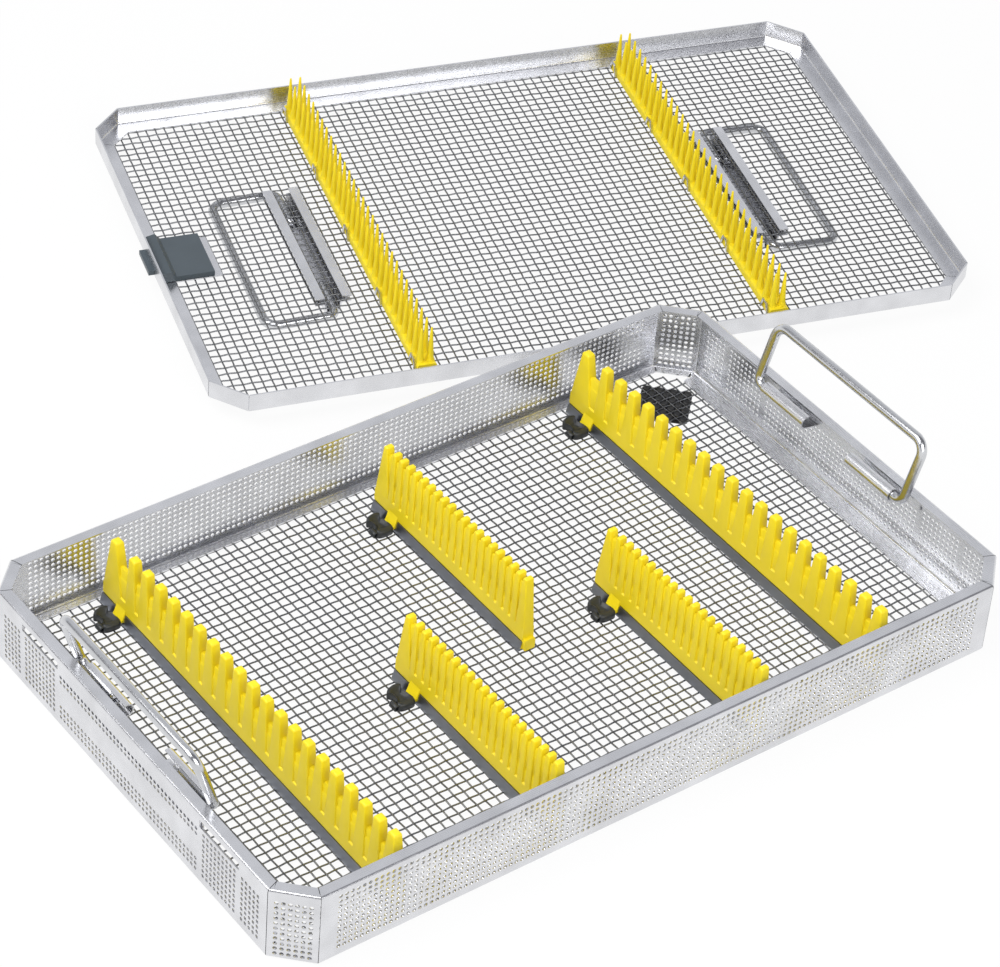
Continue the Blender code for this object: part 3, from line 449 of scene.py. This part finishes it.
def perforated_wall(name, start, end, flange, height, columns, rows, first_row, keep, slots=()):
    """One side of the tray: the folded foot and rim, and between them a sheet with real round holes."""
    start = np.array(start)
    end = np.array(end)
    length = np.linalg.norm(end - start)
    along = (end - start) / length
    inward = np.array((-along[1], along[0]))
    slope = math.tan(math.pi / 8)
    short = SEAM / 2 / math.cos(math.pi / 8)

    def at(s, inset, up):
        flat = start + along * s + inward * inset
        return (flat[0], flat[1], up)

    shape = Shape()
    foot_outer, rim_outer, rim_inner, foot_inner = wall_section(flange, height)
    column_edges = [length / 2 + (index - columns / 2) * HOLE_PITCH for index in range(columns + 1)]
    row_edges = [first_row + (index - 0.5) * HOLE_PITCH for index in range(rows + 1)]
    slot_levels = [SLOT_LOW, SLOT_HIGH] if slots else []
    levels = sorted({FOOT_BEND, height - RIM_BEND, *row_edges, *slot_levels})
    breaks = sorted({*column_edges, *(edge for slot in slots for edge in slot)})

    def stations(inset):
        trim = inset * slope + short
        return [trim, *breaks, length - trim]

    # Foot and rim skins share the flat part's stations so that the mesh is one closed skin
    index_of = {}

    def vertex(column, inset, up):
        key = (column, round(inset, 4), round(up, 4))
        if key not in index_of:
            index_of[key] = len(shape.points)
            shape.points.append(at(stations(inset)[column], inset, up))
        return index_of[key]

    last = len(breaks) + 1

    def strip(section):
        for (inset, up), (next_inset, next_up) in zip(section, section[1:]):
            for column in range(last):
                shape.faces.append((
                    vertex(column, inset, up), vertex(column + 1, inset, up),
                    vertex(column + 1, next_inset, next_up), vertex(column, next_inset, next_up)))

    strip(foot_outer)
    strip(rim_outer + rim_inner)
    strip(foot_inner + foot_outer[:1])
    spokes = [(math.cos(math.tau * (side - 1.5) / HOLE_SIDES), math.sin(math.tau * (side - 1.5) / HOLE_SIDES))
              for side in range(HOLE_SIDES)]
    quarter = HOLE_SIDES // 4
    for row, (low, high) in enumerate(zip(levels, levels[1:])):
        for column in range(last):
            s_low = stations(0.0)[column]
            s_high = stations(0.0)[column + 1]
            middle = ((s_low + s_high) / 2, (low + high) / 2)
            in_slot = SLOT_LOW <= middle[1] <= SLOT_HIGH and any(
                slot[0] <= middle[0] <= slot[1] for slot in slots)
            square = abs(high - low - HOLE_PITCH) < 0.01 and abs(s_high - s_low - HOLE_PITCH) < 0.01
            if in_slot:
                continue
            corners = ((column, low), (column + 1, low), (column + 1, high), (column, high))
            if not (square and keep(middle[0], middle[1])):
                for inset in (0.0, SHEET):
                    face = [vertex(where, inset, up) for where, up in corners]
                    shape.faces.append(tuple(face if inset == 0.0 else face[::-1]))
                continue
            rings = []
            for inset in (0.0, SHEET):
                first = len(shape.points)
                shape.points += [at(middle[0] + wide * HOLE_RADIUS, inset, middle[1] + tall * HOLE_RADIUS)
                                 for wide, tall in spokes]
                rings.append(first)
                face = [vertex(where, inset, up) for where, up in corners]
                order = (2, 3, 0, 1)
                for side in range(4):
                    here = face[order[side] - 1]
                    there = face[order[side]]
                    hole = [first + (side * quarter + step) % HOLE_SIDES for step in range(quarter + 1)]
                    outline = [here, there, *hole[::-1]]
                    shape.faces.append(tuple(outline if inset == 0.0 else outline[::-1]))
            for side in range(HOLE_SIDES):
                beside = (side + 1) % HOLE_SIDES
                shape.faces.append((rings[0] + side, rings[0] + beside, rings[1] + beside, rings[1] + side))
    # Slot edges and the two mitred ends close the skin
    for slot in slots:
        inner = [index + 1 for index, edge in enumerate(breaks) if slot[0] <= edge <= slot[1]]
        tall = [level for level in levels if SLOT_LOW <= level <= SLOT_HIGH]
        loop = [(column, SLOT_LOW) for column in inner] + [(inner[-1], level) for level in tall[1:]]
        loop += [(column, SLOT_HIGH) for column in inner[-2::-1]]
        loop += [(inner[0], level) for level in tall[-2::-1]]
        for (column, up), (next_column, next_up) in zip(loop, loop[1:]):
            shape.faces.append((vertex(column, 0.0, up), vertex(next_column, 0.0, next_up),
                                vertex(next_column, SHEET, next_up), vertex(column, SHEET, up)))
    outer = foot_outer + [(0.0, level) for level in levels[1:-1]] + rim_outer
    inner = foot_inner[::-1] + [(SHEET, level) for level in levels[1:-1]] + rim_inner[::-1]
    for column, flip in ((0, 1), (last, -1)):
        skin = [vertex(column, *point) for point in outer] + [vertex(column, *point) for point in inner[::-1]]
        shape.faces.append(tuple(skin[::flip]))
    finish = END_STEEL if abs(along[1]) > 0.9 else SHEET_STEEL
    return piece(name + "_panel", shape, "tray", finish, (name,), smooth=35)


def octagon(half_x, half_y, leg):
    quarter = ((half_x, half_y - leg), (half_x - leg, half_y))
    points = list(quarter)
    points += [(-x, y) for x, y in reversed(quarter)]
    points += [(-x, -y) for x, y in quarter]
    points += [(x, -y) for x, y in reversed(quarter)]
    return points


def build_walls():
    low, high = node_box("left_wall")
    half_x = -low[0]
    height = high[2]
    half_y = node_box("rear_wall")[1][1]
    corners = octagon(half_x, half_y, CORNER_LEG)
    names = ("rear_right_corner", "rear_wall", "rear_left_corner", "left_wall",
             "front_left_corner", "front_wall", "front_right_corner", "right_wall")
    for index, name in enumerate(names):
        start = corners[index]
        end = corners[(index + 1) % len(corners)]
        length = math.dist(start, end)
        at_end = name in ("left_wall", "right_wall")
        slots = ()
        if "corner" in name:
            columns, rows, first = CORNER_COLUMNS, CORNER_ROWS, CORNER_FIRST_ROW
        else:
            margin = END_MARGIN if at_end else SIDE_MARGIN
            columns, rows, first = int((length - 2 * margin) / HOLE_PITCH), HOLE_ROWS, FIRST_ROW
        if at_end:
            slots = tuple((length / 2 + side * SLOT_CENTRE - SLOT_LENGTH / 2,
                           length / 2 + side * SLOT_CENTRE + SLOT_LENGTH / 2) for side in (-1, 1))

        def keep(s, up, labelled=name == "left_wall", slotted=at_end, middle=length / 2):
            """Leaves the label area and the slots' surroundings without holes."""
            on_label = labelled and LABEL[0] < middle - s < LABEL[1] and LABEL[2] < up < LABEL[3]
            by_slot = abs(abs(s - middle) - SLOT_CENTRE) < SLOT_LENGTH / 2 + SLOT_MARGIN
            return not on_label and not (slotted and by_slot and up > SLOT_LOW - SLOT_MARGIN)

        flange = END_FLANGE if at_end else SIDE_FLANGE
        perforated_wall(name, start, end, flange, height, columns, rows, first, keep, slots)


build_walls()


# Silicone bars


def rounded_ring(half_x, half_y, radius, steps=3):
    """A rectangle with rounded corners, counter-clockwise from its first quarter."""
    points = []
    for quarter, (side_x, side_y) in enumerate(((1, 1), (-1, 1), (-1, -1), (1, -1))):
        centre = (side_x * (half_x - radius), side_y * (half_y - radius))
        start = quarter * math.pi / 2
        points += arc(centre, radius, start, start + math.pi / 2, steps)
    return points


def finger(shape, x, y, foot, root, top, half_foot, half_tip):
    """A tapered finger with rounded edges and a domed tip."""
    cap = CAP_share * min(BLADE_TIP, half_tip)
    rings = []

    def ring(level, inset):
        share = (level - foot) / (top - foot)
        half_x = BLADE_FOOT + (BLADE_TIP - BLADE_FOOT) * share - inset
        half_y = half_foot + (half_tip - half_foot) * max(0.0, level - root) / (top - root) - inset
        radius = min(EDGE_ROUND, 0.92 * min(half_x, half_y))
        rings.append([(x + px, y + py, level) for px, py in rounded_ring(half_x, half_y, radius)])

    for step in range(5):
        ring(root - FINGER_OVERRUN + (top - cap - root + FINGER_OVERRUN) * step / 4, 0.0)
    for degrees in CAP_DEGREES:
        angle = math.radians(degrees)
        ring(top - cap + cap * math.sin(angle), cap * (1 - math.cos(angle)))
    shape.loft(rings)


def section_along(shape, x, base, right, front, rear):
    """Extrudes a section that is the same on both sides along the bar."""
    outline = list(right) + [(-across, up) for across, up in reversed(right)]
    shape.prism(outline, lambda point, y: (x + point[0], y, base + point[1]), rear, front)


def comb(name):
    rail_low, rail_high = node_box(name + "_rail")
    x = (rail_low[0] + rail_high[0]) / 2
    front, rear = rail_low[1], rail_high[1]
    foot = rail_high[2] + RAIL_TOP_GAP
    top = node_box(name + "_comb")[1][2]
    kind = COARSE if "coarse" in name else FINE
    root = foot + kind["root"]
    shape = Shape()
    dove = rail_low[2] + RAIL_SHEET + RAIL_TOP_GAP - foot
    flank = [(DOVETAIL[1], dove), (DOVETAIL[0], 0.0)]
    flank += [(BLADE_FOOT + shift, up) for shift, up in FLANK_FOOT]
    flank += [(BLADE_FOOT + shift, kind["root"] + up) for shift, up in FLANK_TOP]
    flank.append((NECK[0], kind["root"] + NECK[1]))
    section_along(shape, x, foot, flank, front, rear)
    web = ((WEB_FOOT, kind["root"] - WEB_OVERRUN),) + kind["web"]
    section_along(shape, x, foot, web, front + kind["last"], rear - kind["end"])
    reach = rear - front - kind["first"] - kind["last"]
    steps = round(reach / kind["pitch"])
    finger(shape, x, rear - kind["end"], foot, root, top, kind["end"], kind["tip"])
    for step in range(steps):
        y = rear - kind["first"] - reach * step / steps
        finger(shape, x, y, foot, root, top, kind["foot"], kind["tip"])
    finger(shape, x, front + kind["last"], foot, root, top, kind["last"], kind["tip"])
    reach_out, lip, rise = TAB
    low = RAIL_SHEET + 2 * RAIL_TOP_GAP
    tab = ((0.0, low), (0.0, foot - rail_low[2] + rise), (-BLADE_FOOT, foot - rail_low[2] + rise),
           (-reach_out + TAB_CHAMFER[0], lip + TAB_CHAMFER[1]), (-reach_out, lip), (-reach_out, low))
    shape.prism(tab, lambda point, y: (x + point[0], y, rail_low[2] + point[1]),
                rear - NOTCH_SETBACK - NOTCH_LENGTH + RAIL_TOP_GAP, rear - NOTCH_SETBACK - RAIL_TOP_GAP)
    if name == "rear_fine":
        section_along(shape, x, rail_low[2] + END_LUG_LEVEL, END_LUG,
                      front + END_LUG_REACH[0], front + END_LUG_REACH[1])
    piece(name + "_silicone", shape, "tray", SILICONE, (name + "_comb",), smooth=38)
    lock_clip(name, rail_low[0], rear, rail_low[2])


def smooth_loop(points, steps=4):
    """A closed curve through the points, rounded between them."""
    count = len(points)
    curve = []
    for index in range(count):
        a, b, c, d = (np.array(points[(index + shift) % count]) for shift in (-1, 0, 1, 2))
        for step in range(steps):
            t = step / steps
            curve.append(0.5 * (2 * b + (c - a) * t + (2 * a - 5 * b + 4 * c - d) * t * t
                                + (3 * b - a - 3 * c + d) * t ** 3))
    return curve


def lock_clip(name, rail_edge, rear, level):
    """Lobed plastic clip with a dished top, and the round pin that it turns on."""
    start = rail_edge - CLIP_CLEARANCE
    middle = rear - NOTCH_SETBACK - NOTCH_LENGTH / 2 + CLIP_OFFSET
    outline = smooth_loop([(start - along * CLIP_LENGTH, middle + across * CLIP_WIDTH)
                           for along, across in CLIP_OUTLINE_shares])
    centre = sum(outline) / len(outline)
    shape = Shape()
    rings = [[(*(centre + (point - centre) * shrink), level + up) for point in outline]
             for shrink, up in CLIP_RINGS]
    shape.loft(rings[::-1])
    radius, length, away, along = CLIP_PIN
    axis_x = start - away
    axis_z = level + radius + PIN_RISE
    low = middle + along - length / 2
    stations = [(size, low + setback) for size, setback in PIN_REAR_RINGS]
    stations += [(size, low + length - setback) for size, setback in PIN_FRONT_RINGS]
    spokes = [(radius * math.cos(math.tau * side / PIN_ROUND), radius * math.sin(math.tau * side / PIN_ROUND))
              for side in range(PIN_ROUND)]
    shape.loft([[(axis_x + size * across, y, axis_z + size * up) for across, up in spokes]
                for size, y in stations])
    piece(name + "_lock", shape, "tray", BLACK_PLASTIC, (name + "_clip",), smooth=50)


for name in ("left_coarse", "right_coarse", "rear_fine", "front_left_fine", "front_right_fine"):
    comb(name)


def corner_pad():
    """Rubber pad under the mesh, its knobs standing up through the openings."""
    reach = PAD_STEPS * MESH_PITCH
    bound = reach + PAD_KNOB + PAD_MARGIN
    flat = reach + (PAD_KNOB + PAD_MARGIN) * math.sqrt(2) - bound
    outline = [(bound, flat), (flat, bound), (-flat, bound), (-bound, flat)]
    outline += [(-x, -y) for x, y in outline]
    plate_low, plate_high, knob_top = PAD_LEVELS
    shape = Shape()
    shape.prism(outline[::-1], lambda point, z: (PAD_CENTRE[0] + point[0], PAD_CENTRE[1] + point[1], z),
                plate_high, plate_low)
    for column in range(-PAD_STEPS, PAD_STEPS + 1):
        for row in range(abs(column) - PAD_STEPS, PAD_STEPS - abs(column) + 1):
            x = PAD_CENTRE[0] + column * MESH_PITCH
            y = PAD_CENTRE[1] + row * MESH_PITCH
            crown = [(size, knob_top + up) for size, up in KNOB_CROWN]
            rings = []
            for size, z in [(1.0, plate_low + KNOB_SINK)] + crown:
                rings.append([(x + PAD_KNOB * size * math.cos(math.tau * side / KNOB_SIDES),
                               y + PAD_KNOB * size * math.sin(math.tau * side / KNOB_SIDES), z)
                              for side in range(KNOB_SIDES)])
            shape.loft(rings)
    piece("corner_pad_rubber", shape, "tray", BLACK_RUBBER, ("corner_pad",), smooth=50)


corner_pad()


# Handles and hinge plates


def bail(name, node, body, joint, reach, lean, turn=None):
    """A bent wire handle about its hinge axis."""
    half = BAIL_SPAN / 2
    foot = half - FOOT_LENGTH
    corners = [(0.0, foot, 0.0), (0.0, half, 0.0), (0.0, half, reach),
               (0.0, -half, reach), (0.0, -half, 0.0), (0.0, -foot, 0.0)]
    path = rounded_path(corners, (FOOT_RADIUS, BAIL_BEND, BAIL_BEND, FOOT_RADIUS), ARC_STEPS)
    spin = Matrix.Rotation(lean, 4, "Y")
    if turn:
        spin = turn @ spin
    pivot = next(Vector(item["pos_m"]) for item in frame["joints"] if item["name"] == joint)
    shape = Shape()
    tube(shape, path, BAIL_RADIUS, BAIL_SIDES)
    piece(name, shape, body, WIRE_STEEL, (node,), Matrix.Translation(pivot) @ spin, smooth=60)


for side, word in ((-1, "left"), (1, "right")):
    bail(word + "_bail", word + "_handle", "handle_" + word, word + "_handle_hinge",
         HANDLE_REACH, side * HANDLE_LEAN)
    bail(f"lid_{word}_bail", f"lid_{word}_handle", "lid_bail_" + word, f"lid_{word}_handle_hinge",
         LID_HANDLE_REACH, side * (math.pi / 2 + LID_BAIL_DROP), LID_TURN)



def hinge_plate(side, word):
    """Backing plate on the end wall whose two tabs curl under and over the handle's wire."""
    pivot = next(item["pos_m"] for item in frame["joints"] if item["name"] == word + "_handle_hinge")
    axis_x, axis_z = pivot[0] / MM, pivot[2] / MM

    def at(point, y):
        return (axis_x + side * point[0], y, axis_z + point[1])

    outline = arc((PLATE_HALF - PLATE_CORNER, PLATE_HIGH - PLATE_CORNER), PLATE_CORNER, 0.0, math.pi / 2, 5)
    outline += [(-y, z) for y, z in outline[::-1]]
    low_corner = arc((-PLATE_HALF + PLATE_CORNER, PLATE_LOW + PLATE_CORNER), PLATE_CORNER,
                     math.pi, 1.5 * math.pi, 5)
    outline += low_corner + [(-y, z) for y, z in low_corner[::-1]]
    shape = Shape()
    faces = (PLATE_REACH - SHEET, PLATE_REACH)[::side]
    shape.loft([[at((across, z), y) for y, z in outline] for across in faces])
    root = PLATE_REACH - SHEET / 2
    inner = arc((0.0, 0.0), SLEEVE_INNER, *SLEEVE_TURN, SLEEVE_STEPS)
    outer = arc((0.0, 0.0), SLEEVE_OUTER, *SLEEVE_TURN, SLEEVE_STEPS)
    curl = [(root, TAB_LEVEL), *inner, *reversed(outer), (root, TAB_LEVEL - SHEET)]
    for sign in (-1, 1):
        ends = sorted((sign * SLEEVE_ENDS[0], sign * SLEEVE_ENDS[1]))
        shape.prism(curl[::-side], at, *ends)
    piece(word + "_hinge", shape, "tray", END_STEEL, (word + "_hinge_plate",), smooth=40)


hinge_plate(-1, "left")
hinge_plate(1, "right")


# Lid


def mitred_ring(shape, profile):
    """Eight folded strips with a fine seam at each corner."""
    corners = octagon(*LID_HALF, CORNER_LEG)
    slope = math.tan(math.pi / 8)
    for start, end in zip(corners, corners[1:] + corners[:1]):
        start = np.array(start)
        end = np.array(end)
        along = (end - start) / np.linalg.norm(end - start)
        inward = np.array((-along[1], along[0]))
        rings = []
        for place, sign in ((start, 1), (end, -1)):
            ring = []
            for inset, up in profile:
                flat = place + inward * inset + along * sign * (inset * slope + SEAM / 2)
                ring.append((flat[0], flat[1], up))
            rings.append(ring)
        shape.loft(rings)


def lid_frame():
    low, high = node_box("lid_frame")
    level, top = low[2], high[2]
    centre = (LID_BEND, level + LID_BEND)
    outer = arc(centre, LID_BEND, -math.pi / 2, -math.pi, ARC_STEPS)
    inner = arc(centre, LID_BEND - SHEET, -math.pi, -math.pi / 2, ARC_STEPS)
    profile = [(LID_FLANGE, level), *outer, (0.0, top), (SHEET, top), *inner, (LID_FLANGE, level + SHEET)]
    shape = Shape()
    mitred_ring(shape, profile)
    piece("lid_rim", shape, "lid", SHEET_STEEL, ("lid_frame",), LID_PLACE, smooth=35)


lid_frame()


def pin_bar(word, share):
    """Silicone strip with rounded edges and two rows of tapered pins."""
    node = f"lid_{word}_pin_bar"
    low, high = node_box(node)
    base = low[2]
    top = high[2]
    half_length = LID_HALF[1] - LID_FLANGE - PIN_BAR_GAP
    x = share * 2 * LID_HALF[0]
    strip = base + PIN_BAR_HEIGHT
    shape = Shape()
    edge = [(PIN_BAR_HALF, base)] + [(PIN_BAR_HALF + shift, strip + up) for shift, up in PIN_BAR_EDGE]
    outline = edge + [(-across, up) for across, up in reversed(edge)]
    shape.prism(outline, lambda point, y: (x + point[0], y, point[1]), half_length, -half_length)
    pins = math.floor(2 * half_length / PIN_PITCH)
    pitch = 2 * half_length / pins
    for sign in (-1, 1):
        for index in range(pins):
            y = -half_length + pitch * (index + 0.5)
            rings = []
            for share_up, radius in PIN_PROFILE:
                z = strip + share_up * (top - strip)
                rings.append([(x + sign * PIN_ROW + radius * math.cos(math.tau * side / PIN_SIDES),
                               y + radius * math.sin(math.tau * side / PIN_SIDES), z)
                              for side in range(PIN_SIDES)])
            shape.loft(rings)
    piece(f"lid_{word}_pins", shape, "lid", SILICONE, (node,), LID_PLACE, smooth=50)


for word, share in PIN_BAR_shares.items():
    pin_bar(word, share)

# Materials of the CAD nodes that stay

STAYS = {"_wall": SHEET_STEEL, "_corner": SHEET_STEEL, "_hinge_plate": END_STEEL, "_rail": SHADED_RAIL_STEEL,
         "_comb": SILICONE, "_clip": BLACK_PLASTIC, "corner_pad": BLACK_RUBBER, "_handle": WIRE_STEEL,
         "lid_frame": SHEET_STEEL, "_channel": END_STEEL, "_strip": END_STEEL, "lid_latch": GREY_PLASTIC,
         "latch_plate": SHEET_STEEL, "_pin_bar": SILICONE, "wire_clip": WIRE_STEEL, "mesh": WIRE_STEEL}
for node in frame["nodes"]:
    for words, finish in STAYS.items():
        if words in node:
            for place in bpy.data.objects[node].material_slots:
                place.material = finish

# Floor, light and camera, in metres

CAMERA_LENS = 137.82
CAMERA_EYE = (-0.8414, -1.0267, 1.1832)
CAMERA_RIGHT = (0.8074, -0.5864, 0.0650)
CAMERA_UP = (0.3334, 0.5443, 0.7699)
CAMERA_BACK = (-0.4869, -0.5999, 0.6349)
FLOOR_SINK = 0.0002
FLOOR_GLOW_share = 0.93


def stage_floor():
    mesh = bpy.data.meshes.new("floor")
    reach = 6.0
    corners = [(-reach, -reach, 0), (reach, -reach, 0), (reach, reach, 0), (-reach, reach, 0)]
    mesh.from_pydata(corners, [], [(0, 1, 2, 3)])
    floor = bpy.data.objects.new("floor", mesh)
    bpy.context.scene.collection.objects.link(floor)
    floor.location = (0.0, 0.0, -FLOOR_SINK)
    made = bpy.data.materials.new("studio_floor")
    made.use_nodes = True
    nodes = made.node_tree.nodes
    links = made.node_tree.links
    shader = nodes["Principled BSDF"]
    shader.inputs["Base Color"].default_value = (0.86, 0.86, 0.86, 1.0)
    shader.inputs["Roughness"].default_value = 0.9
    shader.inputs["Specular IOR Level"].default_value = 0.1
    glow = nodes.new("ShaderNodeEmission")
    glow.inputs["Color"].default_value = (1.0, 1.0, 1.0, 1.0)
    path = nodes.new("ShaderNodeLightPath")
    seen = nodes.new("ShaderNodeMath")
    seen.operation = "MAXIMUM"
    links.new(path.outputs["Is Camera Ray"], seen.inputs[0])
    links.new(path.outputs["Is Glossy Ray"], seen.inputs[1])
    also = nodes.new("ShaderNodeMath")
    also.operation = "MAXIMUM"
    links.new(seen.outputs[0], also.inputs[0])
    links.new(path.outputs["Is Transmission Ray"], also.inputs[1])
    share = nodes.new("ShaderNodeMath")
    share.operation = "MULTIPLY"
    share.inputs[1].default_value = FLOOR_GLOW_share
    links.new(also.outputs[0], share.inputs[0])
    mix = nodes.new("ShaderNodeMixShader")
    links.new(share.outputs[0], mix.inputs[0])
    links.new(shader.outputs[0], mix.inputs[1])
    links.new(glow.outputs[0], mix.inputs[2])
    links.new(mix.outputs[0], nodes["Material Output"].inputs["Surface"])
    floor.data.materials.append(made)


def world_light():
    """White round the horizon, grey overhead and dark on the camera's side, so that bends show dark."""
    world = bpy.data.worlds.new("studio")
    bpy.context.scene.world = world
    world.use_nodes = True
    nodes = world.node_tree.nodes
    links = world.node_tree.links
    background = nodes["Background"]

    def ramp(source, low, high):
        made = nodes.new("ShaderNodeValToRGB")
        for element, (position, grey) in zip(made.color_ramp.elements, (low, high)):
            element.position = position
            element.color = (grey, grey, grey, 1.0)
        links.new(source, made.inputs["Fac"])
        return made.outputs["Color"]

    def mix(factor, first, second):
        made = nodes.new("ShaderNodeMix")
        made.data_type = "RGBA"
        for label, source in (("Factor", factor), ("A", first), ("B", second)):
            if isinstance(source, tuple):
                made.inputs[label].default_value = source
            else:
                links.new(source, made.inputs[label])
        return made.outputs["Result"]

    coordinates = nodes.new("ShaderNodeTexCoord")
    split = nodes.new("ShaderNodeSeparateXYZ")
    links.new(coordinates.outputs["Generated"], split.inputs[0])
    toward = nodes.new("ShaderNodeVectorMath")
    toward.operation = "DOT_PRODUCT"
    toward.inputs[1].default_value = (-0.63, -0.78, 0.0)
    links.new(coordinates.outputs["Generated"], toward.inputs[0])
    up = ramp(split.outputs["Z"], (0.28, 0.0), (0.42, 1.0))
    near = nodes.new("ShaderNodeMapRange")
    near.inputs["From Min"].default_value = -0.50
    near.inputs["From Max"].default_value = -0.25
    links.new(toward.outputs["Value"], near.inputs["Value"])
    dome = mix(near.outputs["Result"], (0.70, 0.71, 0.74, 1.0), (0.22, 0.22, 0.24, 1.0))
    studio = mix(up, (1.0, 1.0, 1.0, 1.0), dome)
    path = nodes.new("ShaderNodeLightPath")
    links.new(mix(path.outputs["Is Camera Ray"], studio, (1.0, 1.0, 1.0, 1.0)), background.inputs["Color"])
    background.inputs["Strength"].default_value = 1.0


def area_light(name, place, target, size, watts):
    data = bpy.data.lights.new(name, "AREA")
    data.shape = "RECTANGLE"
    data.size = size[0]
    data.size_y = size[1]
    data.energy = watts
    lamp = bpy.data.objects.new(name, data)
    lamp.location = place
    lamp.rotation_euler = (Vector(target) - Vector(place)).to_track_quat("-Z", "Y").to_euler()
    bpy.context.scene.collection.objects.link(lamp)


def camera():
    data = bpy.data.cameras.new("camera")
    data.sensor_fit = "HORIZONTAL"
    data.sensor_width = 36.0
    data.lens = CAMERA_LENS
    seen = bpy.data.objects.new("camera", data)
    turn = Matrix((CAMERA_RIGHT, CAMERA_UP, CAMERA_BACK)).transposed().to_4x4()
    seen.matrix_world = Matrix.Translation(CAMERA_EYE) @ turn
    bpy.context.scene.collection.objects.link(seen)
    bpy.context.scene.camera = seen


stage_floor()
world_light()
area_light("key", (-0.9, 0.3, 1.6), (0.0, 0.0, 0.0), (1.2, 1.2), 26.0)
area_light("fill", (-0.3, -1.5, 1.3), (0.0, 0.0, 0.0), (1.4, 1.0), 20.0)
camera()
bpy.context.scene.view_settings.view_transform = "Standard"
